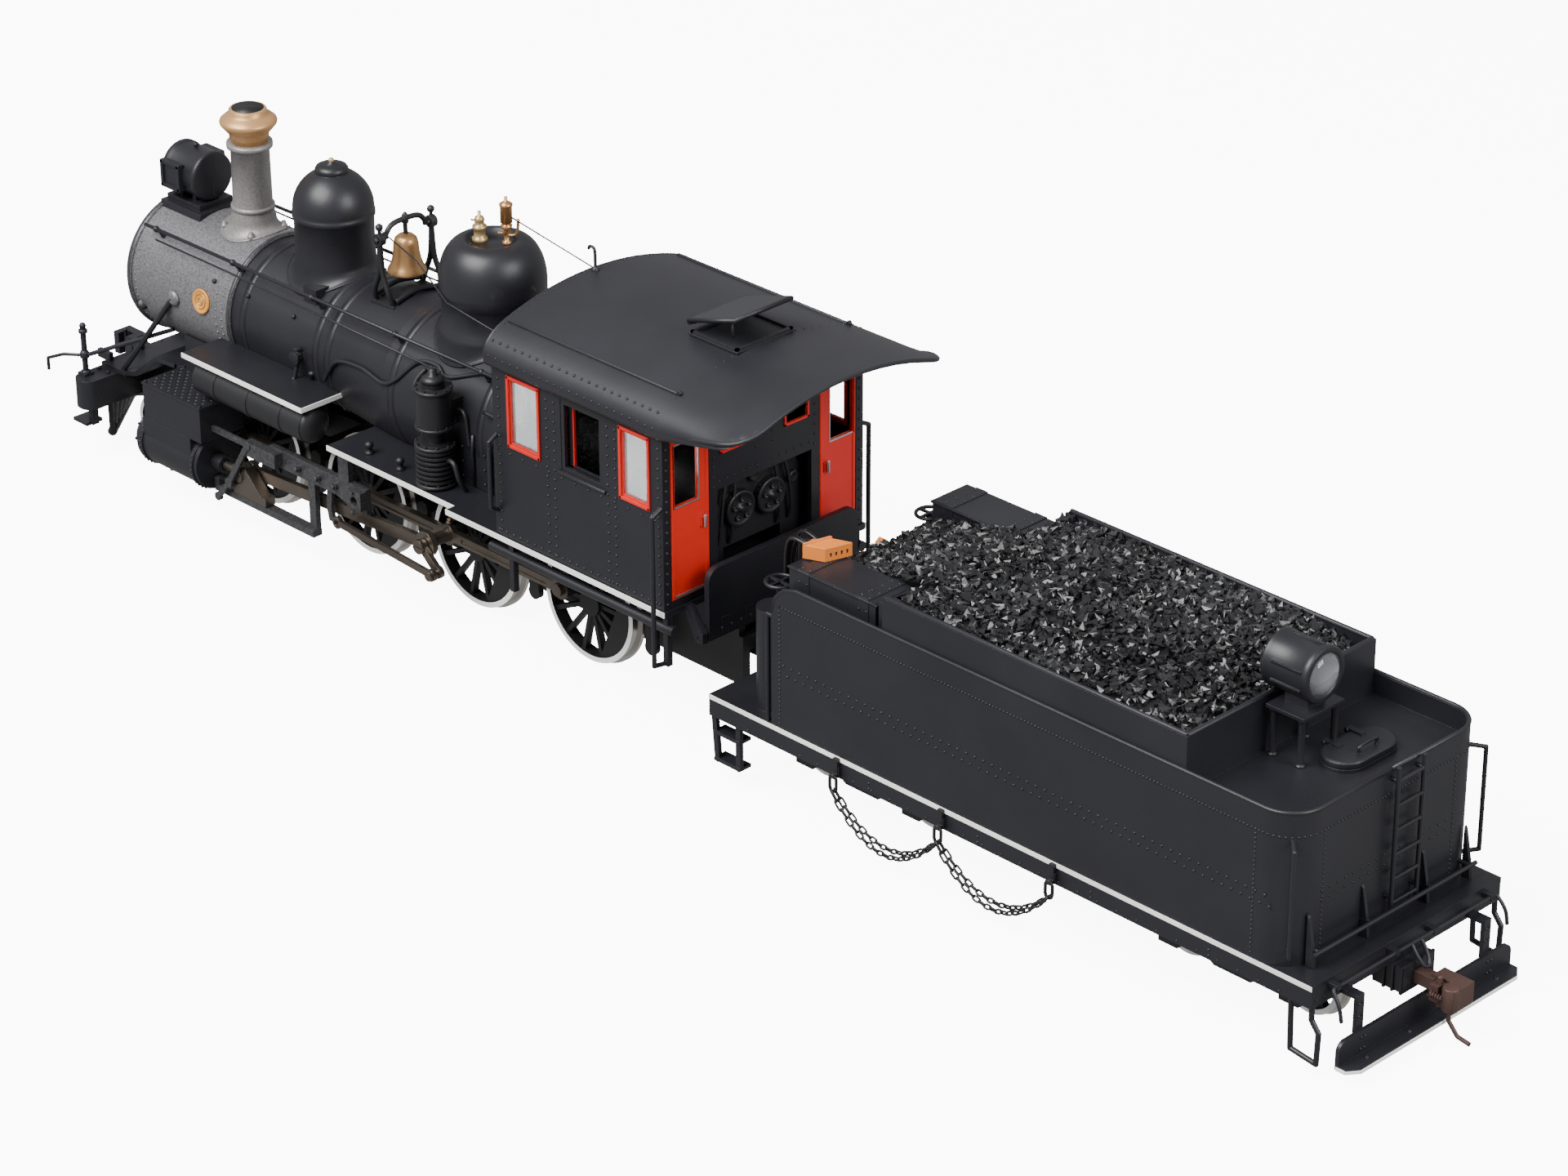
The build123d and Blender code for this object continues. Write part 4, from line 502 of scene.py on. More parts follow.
def chain_link(shape, centre, along, across, length, width, wire):
    """One oval link of bent wire."""
    along, across = Vector(along).normalized(), Vector(across).normalized()
    straight, bend = (length - width) / 2, (width - wire) / 2
    path = []
    for end in (1, -1):
        for angle in range(-90, 91, 45):
            lean = radians(angle)
            path.append(Vector(centre) + along * end * (straight + bend * cos(lean))
                        + across * end * bend * sin(lean))
    shape.tube(path, wire / 2, 6, closed=True)


def safety_chain():
    """Doubled chain hanging from three brackets on each side."""
    brackets = (-57.0, -82.3, -108.2)
    metal = Shape(CAST_BLACK)
    for side in (1, -1):
        y = side * 25.75
        for x in brackets:
            metal.box((x - 0.55, x + 0.55), (side * 24.5, side * 25.3), (13.4, 17.0))
            metal.box((x - 0.55, x + 0.55), (side * 25.2, side * 26.1), (13.4, 14.1))
            chain_link(metal, (x, y, 12.3), (0, 0, 1), (1, 0, 0), 4.0, 2.2, 0.62)
        for start, end in zip(brackets, brackets[1:]):
            for strand in (-0.45, 0.45):
                links, sag = 20, 7.2 + strand
                spots = []
                for i in range(links + 1):
                    t = i / links
                    spots.append(Vector((start + (end - start) * t, y + strand * 0.9,
                                         10.9 - sag * 4 * t * (1 - t))))
                for i in range(links):
                    middle, run = (spots[i] + spots[i + 1]) / 2, spots[i + 1] - spots[i]
                    flat = Vector((0, 1, 0)) if i % 2 else run.cross(Vector((0, 1, 0)))
                    lean = flat.normalized() + run.cross(flat).normalized() * 0.5
                    chain_link(metal, middle, run, lean, run.length * 1.45, 1.2, 0.42)
    piece = metal.done("safety_chains", "tender")
    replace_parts(piece, "side_chain")


def rear_lamp():
    """Tender lamp: ribbed drum, clear lens and its stand."""
    lens_x, z, radius = span("tender_headlight")[0].x - 0.5, 57.2, 5.1
    body = Shape(BLACK)
    body.turned([(3.8, 0), (4.0, -0.2), (radius - 0.2, -0.2), (radius, 0.2), (radius, 1.0),
                 (radius - 0.15, 1.2), (radius - 0.15, 8.6), (radius, 8.8), (radius, 9.3),
                 (radius - 0.5, 9.7), (0.01, 9.9)], (lens_x + 0.2, 0, z), (1, 0, 0), 56)
    for angle in (20, 100, 180, 260, 340):
        lean = radians(angle)
        spot = (lens_x + 4.4, radius * 0.985 * cos(lean), z + radius * 0.985 * sin(lean))
        body.box((spot[0] - 3.2, spot[0] + 3.2), (spot[1] - 0.25, spot[1] + 0.25),
                 (spot[2] - 0.25, spot[2] + 0.25))
    body.box((lens_x - 0.2, lens_x + 8.0), (-5.2, 5.2), (50.3, 51.0))
    body.box((lens_x + 1.5, lens_x + 6.5), (-2.2, 2.2), (51.0, 52.6))
    for x in (lens_x + 0.9, lens_x + 6.9):
        for y in (-4.2, 4.2):
            body.turned([(0.9, 0), (0.9, 0.3), (0.6, 0.5), (0.6, 8.3), (0.9, 8.5), (0.9, 8.8)],
                        (x, y, 41.5), sides=14)
    shell = body.done("rear_lamp_body", "tender", 0.06)
    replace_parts(shell, "tender_headlight")
    inner = Shape(SILVER)
    inner.turned([(0.4, 2.8), (1.8, 2.3), (3.1, 1.3), (3.9, 0.1)], (lens_x + 0.25, 0, z), (1, 0, 0), 40)
    inner.turned([(0.5, 1.0), (0.5, 2.0), (0.05, 2.3)], (lens_x + 0.6, 0, z), (1, 0, 0), 16)
    inner.done("rear_lamp_reflector", "tender")
    front = Shape(GLASS)
    front.turned([(0.05, -1.1), (1.4, -0.95), (2.8, -0.6), (3.9, 0.05), (3.9, 0.35), (0.05, 0.35)],
                 (lens_x + 0.1, 0, z), (1, 0, 0), 40)
    front.done("rear_lamp_lens", "tender")


def water_hatch():
    """Oval filler lid with rim, handle and hinges, and its raised ring."""
    low, high = span("water_hatch_lid")
    centre = Vector(((low.x + high.x) / 2, (low.y + high.y) / 2, 0))

    def oval(size, z):
        reach, half = 3.5 + size, 4.0 + size
        points = [(centre.x + half * cos(a), centre.y + reach + half * sin(a), z)
                  for a in [pi * i / 14 for i in range(15)]]
        return points + [(centre.x + half * cos(a), centre.y - reach + half * sin(a), z)
                         for a in [pi + pi * i / 14 for i in range(15)]]

    def slab(shape, rings):
        points = [p for size, z in rings for p in oval(size, z)]
        count = len(points) // len(rings)
        shape.add(points, grid(len(rings), count) + caps(len(rings), count))
    ring = Shape(BLACK)
    slab(ring, [(0.1, 41.5), (0.1, 42.15)])
    ring.done("water_hatch_ring", "tender", 0.05)
    lid = Shape(BLACK)
    slab(lid, [(0.0, 42.2), (0.05, 42.5), (0.05, 43.1), (-0.15, 43.35), (-0.6, 43.4)])
    for y in (-3.0, 3.0):
        lid.box((centre.x + 1.4, centre.x + 4.9), (centre.y + y - 0.6, centre.y + y + 0.6),
                (43.35, 43.75))
        lid.tube([(centre.x + 4.6, centre.y + y - 0.8, 43.3),
                  (centre.x + 4.6, centre.y + y + 0.8, 43.3)], 0.45)
    handle = [(centre.x - 1.9, centre.y - 2.1, 43.3), (centre.x - 1.9, centre.y - 2.1, 44.5),
              (centre.x - 1.9, centre.y + 2.1, 44.5), (centre.x - 1.9, centre.y + 2.1, 43.3)]
    lid.tube(smooth_path(handle, 6), 0.3)
    piece = lid.done("water_hatch", "water_hatch", 0.05)
    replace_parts(piece, "water_hatch_lid")


def harness():
    """Wires from the tender's front to the plug."""
    route = [(-40.5, 12.0, 26.0), (-35.4, 12.0, 26.0), (-35.0, 13.0, 34.5), (-35.4, 14.2, 43.5),
             (-37.3, 15.0, 50.2), (-41.7, 15.0, 50.2)]
    curve = bpy.data.curves.new("harness_wire_1", "CURVE")
    curve.dimensions = "3D"
    spline = curve.splines.new("NURBS")
    spline.points.add(len(route) - 1)
    for point, spot in zip(spline.points, route):
        point.co = (*(Vector(spot) * MM), 1)
    spline.order_u = 3
    spline.use_endpoint_u = True
    curve.bevel_depth = 0.4 * MM
    curve.bevel_resolution = 4
    curve.materials.append(WIRE)
    wire = bpy.data.objects.new("harness_wire_1", curve)
    bpy.context.collection.objects.link(wire)
    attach(wire, "tender")
    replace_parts(wire, "harness_wires")
    more = Shape(WIRE)
    for offset in ((0.0, 0.95, -0.4), (-0.2, 1.9, -0.1), (0.0, -0.95, 0.3)):
        more.tube(smooth_path([Vector(p) + Vector(offset) * (1 if 0 < i < 5 else 0.8)
                               for i, p in enumerate(route)], 10), 0.38, 8)
    more.done("harness_wires_2_to_4", "tender")
    plug = Shape(ORANGE, DEEP_BLACK)
    middle = Vector((-46.0, 16.1, 0))
    across, near = Vector((-0.7033, -0.7109, 0)), Vector((-0.712, 0.702, 0))

    def place(side, out, z):
        return middle + across * side + near * out + Vector((0, 0, z))
    outline = [(-4.4, 0.4), (-0.4, 2.0), (4.4, -0.6), (0.4, -2.4)]
    rib = [(-4.4, 0.4), (-3.9, 0.6), (0.9, -2.2), (0.4, -2.4)]
    for corners, heights in ((outline, (49.2, 51.9)), (rib, (51.8, 52.3))):
        plug.add([place(a, b, z) for z in heights for a, b in corners], grid(2, 4) + caps(2, 4))
    plug.tube([place(-3.0, -0.4, 50.2), Vector(route[-1]) + Vector((0.1, 0, 0))], 0.8, 8)
    # The four black tabs on the plug's face are painted shade, standing in for the dark insides of its
    # contact holes.
    plug.slot = 1
    for i in range(4):
        share = 0.2 + i * 0.2
        a, b = -0.4 + 4.8 * share, 2.0 - 2.6 * share
        drop = 0.28
        points = [place(a + da + n * 0.476, b - da * 0.54 + n * 0.879, z) for n in (-0.1, 0.03)
                  for da, z in ((-0.25, 50.9), (0.25, 50.9), (0.14, 50.6 - drop * 2),
                                (-0.14, 50.6 - drop * 2))]
        plug.add(points, [(4, 5, 6, 7), (0, 1, 5, 4), (1, 2, 6, 5), (2, 3, 7, 6), (3, 0, 4, 7)])
    plug_piece = plug.done("harness_plug_body", "tender", 0.12)
    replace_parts(plug_piece, "harness_plug")
    spare_plug = Shape(ORANGE)
    spare_plug.prism([(-1.2, 43.0), (0.9, 43.0), (0.9, 45.6), (-0.2, 46.4), (-1.2, 45.6)], 0,
                     (-44.2, -42.6))
    spare_plug.done("spare_plug", "tender", 0.15)


# ---------------------------------------------------------------- boiler and its fittings
BOILER_Z = 39.9
SMOKE_R, BARREL_R, FIRE_R = 14.28, 13.9, 15.5
smoke_low, smoke_high = span("smokebox")
SMOKE_REAR, SMOKE_FRONT = smoke_low.x, smoke_high.x
TAPER_REAR, TAPER_FRONT = 75.0, 95.0


def boiler_radius(x):
    """Outer radius of the boiler or smokebox at x."""
    if x >= SMOKE_REAR:
        return SMOKE_R
    share = min(1, max(0, (x - TAPER_REAR) / (TAPER_FRONT - TAPER_REAR)))
    return FIRE_R + (BARREL_R - FIRE_R) * share


def on_boiler(x, angle, proud=0.0):
    """Point on the boiler; the angle is in degrees from the top, towards the left."""
    radius = boiler_radius(x) + proud
    return Vector((x, radius * sin(radians(angle)), BOILER_Z + radius * cos(radians(angle))))


def around(angle):
    """Outward direction at an angle from the top of the boiler."""
    return Vector((0, sin(radians(angle)), cos(radians(angle))))


def boiler_dress():
    """Bands, seams and rivets of the boiler and the smokebox."""
    bands = Shape(BLACK)
    for x in (34.0, 46.5, 72.0, 92.5, 96.3, 118.5):
        radius = boiler_radius(x)
        bands.turned([(radius - 0.3, -0.9), (radius + 0.16, -0.8), (radius + 0.16, 0.8),
                      (radius - 0.3, 0.9)], (x, 0, BOILER_Z), (1, 0, 0), 96)
    bands.done("boiler_bands", "locomotive")
    ring = Shape(GREY_IRON)
    for x, proud, width in ((SMOKE_REAR + 0.5, 0.3, 1.0), (SMOKE_FRONT - 0.6, 0.45, 1.2)):
        ring.turned([(SMOKE_R - 0.3, -width / 2), (SMOKE_R + proud, -width / 2 + 0.15),
                     (SMOKE_R + proud, width / 2 - 0.15), (SMOKE_R - 0.3, width / 2)], (x, 0, BOILER_Z),
                    (1, 0, 0), 96)
    ring.done("smokebox_rings", "locomotive")
    rivets = Shape(GRAPHITE)
    for x in (SMOKE_REAR + 2.6, SMOKE_REAR + 4.4, SMOKE_FRONT - 2.2):
        for step in range(46):
            angle = -150 + step * 300 / 45
            rivets.rivet(on_boiler(x, angle), around(angle), 0.2)
    for angle in (28, -28):
        rivets.rivets(on_boiler(SMOKE_FRONT - 4, angle), on_boiler(SMOKE_REAR + 6, angle), 1.9,
                      around(angle), 0.2)
    rivets.done("smokebox_rivets", "locomotive")

    plate = Shape(PLATE_GOLD, BRONZE)
    spot = on_boiler(130.8, 82)
    plate.turned([(2.55, 0), (2.55, 0.3), (2.3, 0.42), (2.15, 0.3), (0.01, 0.3)], spot, around(82), 40)
    plate.slot = 1
    for radius in (1.55, 0.8):
        plate.turned([(radius, 0.28), (radius, 0.4), (radius - 0.14, 0.4), (radius - 0.14, 0.28)], spot,
                     around(82), 36)
    plate.done("round_plate", "locomotive")
    flange = Shape(GRAPHITE, BLACK)
    for side in (1, -1):
        flange.turned([(1.7, 0), (1.7, 0.35), (1.2, 0.7), (0.8, 0.9)], on_boiler(139.5, side * 90),
                      around(side * 90), 24)
        for i in range(5):
            angle = 2 * pi * i / 5
            flange.rivet(on_boiler(139.5 + 1.3 * cos(angle), side * (90 + 5.2 * sin(angle)), 0.35),
                         around(side * 90), 0.18)
    flange.done("brace_flanges", "locomotive")

    sides = Shape(BLACK)
    for side in (1, -1):
        for x in (36.0, 41.0, 46.0):
            sides.tube([(x + 2.3, side * 15.3, 30.2), (x + 2.3, side * 15.75, 37.5),
                        (x + 2.0, side * 15.7, 41.0)], 0.4, 8)
        sides.tube(smooth_path([(38.0, side * 15.6, 31.5), (36.0, side * 15.9, 34.0),
                                (36.0, side * 15.9, 44.0), (38.0, side * 15.6, 46.2),
                                (45.0, side * 15.4, 46.6)], 6), 0.42, 8)
    sides.done("firebox_ribs", "locomotive")
    studs = Shape(BLACK)
    for side in (1, -1):
        for z in (31.5, 34.5, 37.5):
            studs.rivets((33.0, side * 15.5, z), (60.5, side * 15.5, z), 3.0, (0, side, 0), 0.2)
    studs.done("firebox_stays", "locomotive")


def saddle_dome(name, x, rings, flare, finish):
    """Dome on the boiler, with a flange that follows the boiler's curve; rings are (radius, z)."""
    shape = Shape(finish)
    sides = 64
    points = []
    neck_radius, neck_z = rings[0]
    steps = 7
    for step in range(steps):
        share = step / steps
        blend = sin(share * pi / 2)
        radius = flare + (neck_radius - flare) * blend
        for i in range(sides):
            angle = 2 * pi * i / sides
            px, py = x + radius * cos(angle), radius * sin(angle)
            surface = BOILER_Z + sqrt(max(0, boiler_radius(px) ** 2 - py ** 2))
            rise = (1 - cos(share * pi / 2))
            points.append((px, py, surface - 0.05 + (neck_z - surface) * rise + 0.25 * (1 - share)))
    for radius, z in rings:
        points += [(x + radius * cos(2 * pi * i / sides), radius * sin(2 * pi * i / sides), z)
                   for i in range(sides)]
    rows = steps + len(rings)
    shape.add(points, grid(rows, sides) + caps(rows, sides)[1:], True)
    rim = [(x + flare * cos(2 * pi * i / sides), flare * sin(2 * pi * i / sides)) for i in range(sides)]
    rim = [(px, py, BOILER_Z + sqrt(max(0, boiler_radius(px) ** 2 - py ** 2)) + 0.1) for px, py in rim]
    shape.tube(rim, 0.28, 6, closed=True)
    return shape


def domes():
    """Sand dome and steam dome."""
    low, high = span("sand_dome")
    x = (low.x + high.x) / 2
    cap = [(8.0 * cos(radians(a)), 65.6 + 8.0 * sin(radians(a))) for a in range(0, 84, 6)]
    sand = saddle_dome("sand", x, [(7.95, 55.6), (7.85, 56.4), (7.85, 63.9), (8.15, 64.1), (8.15, 64.9),
                                   (7.95, 65.1)] + cap + [(0.9, 73.6)], 9.6, BLACK)
    sand.turned([(3.3, 72.4), (3.3, 73.6), (3.0, 74.1), (2.2, 74.5), (0.6, 74.7), (0.6, 75.0)],
                (x, 0, 0), sides=40)
    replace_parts(sand.done("sand_dome_skin", "locomotive"), "sand_dome")
    knob = Shape(BRASS)
    knob.turned([(0.55, 74.8), (0.6, 75.2), (0.45, 75.6), (0.05, 75.8)], (x, 0, 0), sides=14)
    knob.done("sand_dome_knob", "locomotive")
    low, high = span("steam_dome")
    x = (low.x + high.x) / 2
    shoulder = [(5.6 + 4.75 * cos(radians(a)), 64.6 + 8.3 * sin(radians(a))) for a in range(0, 90, 7)]
    steam = saddle_dome("steam", x, [(10.6, 55.6), (9.95, 56.6), (9.9, 61.6), (10.35, 62.0),
                                     (10.35, 64.0)] + shoulder
                        + [(5.4, 72.95), (5.0, 72.9), (4.9, 72.3)], 11.4, BLACK)
    for i in range(8):
        angle = pi / 8 + i * pi / 4
        steam.bolt((x + 4.2 * cos(angle), 4.2 * sin(angle), 72.2), (0, 0, 1), 0.32, 0.35)
    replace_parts(steam.done("steam_dome_skin", "locomotive"), "steam_dome")


def dome_fittings():
    """Safety valve and whistle on the steam dome."""
    brass = Shape(BRASS, BRONZE)
    valve = Vector((60.9, 1.2, 72.2))
    brass.turned([(1.5, 0), (1.5, 0.7), (1.15, 0.9), (1.1, 2.4), (1.4, 2.6), (1.4, 3.1), (0.95, 3.3),
                  (0.9, 4.1), (1.05, 4.3), (0.8, 4.9), (0.35, 5.1), (0.35, 6.0), (0.05, 6.1)], valve,
                 sides=20)
    brass.tube([valve + Vector((0, 0, 3.9)), valve + Vector((1.5, 0.8, 4.1))], 0.2)
    whistle = Vector((56.2, -1.4, 72.2))
    brass.slot = 1
    brass.turned([(0.9, 0), (0.9, 0.5), (0.5, 0.7), (0.5, 2.8), (1.0, 3.2), (1.15, 3.8), (0.7, 4.0),
                  (0.7, 4.25), (1.15, 4.4), (1.15, 7.6), (1.3, 7.8), (1.3, 8.1), (0.6, 8.6), (0.35, 8.7),
                  (0.35, 9.5), (0.05, 9.7)], whistle, sides=20)
    brass.tube(smooth_path([whistle + Vector((0, 0, 1.8)), whistle + Vector((-1.6, -1.0, 2.2)),
                            whistle + Vector((-2.0, -1.2, 5.2))], 6), 0.3)
    brass.tube([whistle + Vector((0, 0, 2.2)), whistle + Vector((-0.2, 2.2, 2.9))], 0.28)
    piece = brass.done("safety_valve_and_whistle", "locomotive")
    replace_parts(piece, "steam_fittings")


def chimney():
    """Stack with its ringed base, and the flared bronze cap."""
    low, high = span("smokestack")
    x = (low.x + high.x) / 2
    stack = saddle_dome("stack", x, [(4.5, 56.4), (4.05, 58.2), (3.98, 60.0), (3.88, 70.8), (4.2, 70.9),
                                     (4.6, 71.0), (4.65, 71.5), (4.6, 72.0), (4.0, 72.05)], 6.4,
                        STACK_GREY)
    stack.turned([(4.05, 57.9), (4.4, 58.0), (4.4, 58.7), (4.05, 58.8)], (x, 0, 0), sides=48)
    for angle in (45, 135, 225, 315):
        lean = radians(angle)
        px, py = x + 5.9 * cos(lean), 5.9 * sin(lean)
        surface = BOILER_Z + sqrt(SMOKE_R ** 2 - py ** 2)
        stack.turned([(0.75, 0), (0.75, 0.7), (0.5, 0.8), (0.5, 1.3), (0.35, 1.45)], (px, py, surface),
                     sides=10)
    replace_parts(stack.done("stack_skin", "locomotive"), "smokestack")
    cap = Shape(CAP_BRONZE, DEEP_BLACK)
    profile = [(3.55, 72.0), (3.6, 72.9), (3.95, 73.1), (4.0, 73.9), (4.3, 74.3), (5.0, 75.1),
               (5.65, 75.9), (5.75, 76.4), (5.6, 76.8), (4.9, 77.4), (4.2, 77.8), (3.85, 78.1),
               (3.8, 78.8), (3.6, 79.05), (3.25, 79.05)]
    cap.turned(profile, (x, 0, 0), sides=64)
    cap.slot = 1
    cap.turned([(3.2, 79.1), (3.1, 78.9), (2.9, 78.95), (0.05, 78.95)], (x, 0, 0), sides=40)
    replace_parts(cap.done("stack_cap_skin", "locomotive"), "stack_cap")


def front_lamp():
    """Headlight with its side plates, bracket and rear cover."""
    z, radius = 60.8, 5.1
    rear, front = 143.0, 153.0
    lamp = Shape(BLACK)
    lamp.turned([(0.05, 0), (radius - 0.5, 0), (radius - 0.1, 0.25), (radius, 0.6), (radius, 1.2),
                 (radius - 0.15, 1.35), (radius - 0.15, 8.6), (radius + 0.1, 8.8), (radius + 0.1, 9.9),
                 (radius - 0.4, 10.1), (radius - 0.7, 9.2)], (rear, 0, z), (1, 0, 0), 56)
    lamp.box((rear - 0.08, rear + 0.1), (-0.14, 0.14), (z - 4.4, z + 4.4))
    for side in (1, -1):
        for x in (147.0, 152.0):
            lamp.box((x - 0.45, x + 0.45), (side * 4.6, side * 6.0), (z - 2.8, z + 2.8))
        for zz in (z - 2.5, z + 2.5):
            lamp.box((146.6, 152.4), (side * 4.6, side * 6.0), (zz - 0.4, zz + 0.4))
        lamp.box((147.0, 152.0), (side * 4.0, side * 5.6), (z - 2.4, z + 2.4))
        lamp.box((145.4, 146.4), (side * 1.7, side * 2.9), (55.5, 57.6))
        lamp.box((149.6, 150.6), (side * 1.7, side * 2.9), (55.5, 57.6))
    lamp.box((142.6, 153.0), (-4.2, 4.2), (54.4, 55.7))
    lamp.prism([(-5.6, 52.2), (5.6, 52.2), (5.2, 54.5), (-5.2, 54.5)], 0, (141.2, 153.8))
    lamp.turned([(0.5, 0), (0.5, 0.6), (0.05, 0.9)], (148.0, 0, z + radius), sides=12)
    piece = lamp.done("headlight_skin", "locomotive", 0.1)
    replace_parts(piece, "front_headlight")
    lens = Shape(SILVER, GLASS)
    lens.turned([(0.3, -2.6), (2.4, -1.9), (4.3, -0.2)], (front - 0.4, 0, z), (1, 0, 0), 40)
    lens.slot = 1
    lens.turned([(4.4, -0.15), (4.4, 0.1), (3.0, 0.35), (0.05, 0.5)], (front - 0.3, 0, z), (1, 0, 0), 40)
    lens.done("headlight_lens", "locomotive")


def bell():
    """Cast bell with its yoke, and the stand that carries it."""
    low, high = span("bell")
    x, pivot = (low.x + high.x) / 2, 67.0
    gold = Shape(BRONZE, CAST_BLACK)
    gold.turned([(0.5, 66.3), (1.5, 66.1), (2.15, 65.5), (2.45, 64.4), (2.6, 62.6), (2.9, 61.0),
                 (3.35, 59.8), (3.75, 59.2), (3.85, 58.7), (3.6, 58.6), (3.1, 59.4), (2.3, 61.6),
                 (0.05, 63.0)], (x, 0, 0), sides=48)
    gold.turned([(0.05, 58.2), (0.6, 58.5), (0.75, 59.1), (0.4, 59.7), (0.25, 62.4)], (x, 0, 0),
                sides=16)
    gold.slot = 1
    gold.tube(smooth_path([(x, -5.0, pivot - 0.2), (x, -4.7, pivot + 0.9), (x, -3.2, pivot + 2.2),
                           (x, 0, pivot + 2.5), (x, 3.2, pivot + 2.2), (x, 4.7, pivot + 0.9),
                           (x, 5.0, pivot - 0.2)], 6), 0.55, 10)
    gold.turned([(0.7, 68.6), (0.7, 70.0), (0.4, 70.6), (0.05, 70.9)], (x, 0, 0), sides=14)
    gold.tube([(x, 0, 66.0), (x, 0, 69.4)], 0.45, 10)
    gold.tube([(x, -7.2, pivot), (x, -5.2, pivot)], 0.6, 12)
    gold.tube([(x, 5.2, pivot), (x, 7.2, pivot)], 0.6, 12)
    piece = gold.done("bell_casting", "bell", 0.03)
    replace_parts(piece, "bell")
    stand = Shape(CAST_BLACK)
    for side in (1, -1):
        y = side * 6.5
        foot = BOILER_Z + sqrt(boiler_radius(x) ** 2 - 6.5 ** 2)
        for dx in (-2.6, 2.6):
            stand.tube(smooth_path([(x + dx, side * 5.6, foot - 0.2), (x + dx * 0.8, y, foot + 3.0),
                                    (x + dx * 0.2, y, foot + 7.0), (x, y, 66.0)], 6), 0.55, 10)
        stand.turned([(1.25, -0.7), (1.25, 0.7)], (x, y, pivot), (0, 1, 0), 20, False)
        stand.turned([(0.7, 0), (0.7, 0.3), (0.4, 0.5)], (x, side * 7.2, pivot), (0, side, 0), 6, False)
        stand.box((x - 3.4, x + 3.4), (side * 4.6, side * 6.6), (foot - 0.5, foot + 0.6))
        stand.tube([(x, y, 68.0), (x, y, 69.0)], 0.35, 8)
        stand.turned([(0.3, -0.75), (0.75, -0.3), (0.75, 0.3), (0.3, 0.75)], (x, y, 69.5), sides=14)
    stand.tube(smooth_path([(x + 3.0, -5.6, 54.6), (x + 3.0, 0, 55.6), (x + 3.0, 5.6, 54.6)], 6), 0.6, 8)
    stand.tube(smooth_path([(x - 3.0, -5.6, 54.6), (x - 3.0, 0, 55.6), (x - 3.0, 5.6, 54.6)], 6), 0.6, 8)
    piece = stand.done("bell_yoke_stand", "locomotive", 0.06)
    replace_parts(piece, "bell_stand")


def boiler_lines():
    """Handrails, conduit, cords' rods, check valves and the bent pipe along each side."""
    rail = Shape(BLACK)
    for side in (1, -1):
        front, rear = Vector((150.5, side * 12.0, 51.9)), Vector((40.0, side * 13.2, 53.2))
        rail.tube([rear, front], 0.36, 10)
        for x in (147.0, 122.5, 98.0, 73.0, 48.0):
            spot = rear.lerp(front, (x - rear.x) / (front.x - rear.x))
            foot = on_boiler(x, side * 45)
            out = (spot - foot).normalized()
            reach = (spot - foot).length
            rail.turned([(0.75, 0), (0.7, 0.2), (0.42, 0.9), (0.34, reach * 0.7), (0.62, reach - 0.45),
                         (0.66, reach + 0.1), (0.4, reach + 0.5), (0.05, reach + 0.6)], foot, out, 12)
        below = [(146.0, side * 13.0, 50.2), (124.0, side * 13.0, 50.2), (98.0, side * 13.2, 50.0),
                 (58.0, side * 14.6, 50.4)]
        rail.tube(below, 0.2, 6)
    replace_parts(rail.done("handrail_runs", "locomotive"), "handrails")
    pipes = Shape(BLACK)
    for side in (1, -1):
        route = [(92.8, side * 14.7, 37.3), (88.6, side * 14.9, 42.6), (81.2, side * 14.9, 43.8),
                 (74.2, side * 15.6, 43.2), (70.8, side * 15.1, 44.7), (66.3, side * 12.9, 49.2),
                 (61.5, side * 12.3, 49.8), (57.6, side * 13.0, 48.9), (48.1, side * 10.3, 51.8),
                 (38.0, side * 9.6, 52.2)]
        pipes.tube(smooth_path(route, 8), 0.42, 10)
        valve = Vector((100.5, side * 13.8, 39.7))
        pipes.turned([(1.6, 0), (1.6, 0.5), (1.0, 0.8), (1.0, 2.2), (1.35, 2.3), (1.35, 2.7)],
                     valve - Vector((0, side * 0.6, 0)), (0, side, 0), 18)
        pipes.turned([(0.8, -1.0), (0.8, 0.6), (1.1, 0.7), (1.1, 1.0), (0.5, 1.2), (0.35, 1.7),
                      (0.8, 1.8), (0.8, 2.0), (0.3, 2.1)], valve + Vector((0, side * 1.0, 0)), (0, 0, 1),
                     16)
        pipes.tube(smooth_path([valve + Vector((0, side * 1.0, -1.0)),
                                valve + Vector((0.4, side * 1.6, -4.0)),
                                valve + Vector((0.4, side * 2.0, -4.6))], 6), 0.45, 8)
        for x in (128.0, 118.0, 104.0):
            clip = on_boiler(x, side * 62)
            pipes.turned([(0.5, 0), (0.5, 0.4), (0.3, 0.6)], clip, around(side * 62), 8)
    spot = on_boiler(101.5, 36)
    pipes.prism([(spot.y - 1.5, spot.z - 0.6), (spot.y + 2.0, spot.z - 2.6),
                 (spot.y + 2.0, spot.z + 1.4), (spot.y - 1.5, spot.z + 1.4)], 0, (99.6, 103.4))
    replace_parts(pipes.done("boiler_pipes", "locomotive", 0.05), "boiler_piping")
    wires = Shape(BLACK)
    wires.tube([(84.0, 6.6, 69.3), (72.0, 7.6, 66.6), (60.0, 10.6, 62.6), (33.5, 12.5, 61.0)], 0.16, 6)
    wires.tube([(56.2, -2.4, 77.4), (31.0, -3.0, 73.2)], 0.16, 6)
    wires.done("bell_and_whistle_lines", "locomotive")


# ---------------------------------------------------------------- cab
CAB_HALF, CAB_REAR, EAVE = 25.3, -14.0, 64.9
ROOF_REAR, ROOF_FRONT = -34.9, 31.5
RAIL_Y = 21.2                            # half width between the rain rails
ROOF_RADIUS, ROOF_CENTRE_Z = 65.0, 10.2  # the roof's arc, seen from behind
WINDOWS = ((18.2, 26.9), (1.6, 12.6), (-10.8, -2.9))
SILL, HEAD = 49.1, 63.4


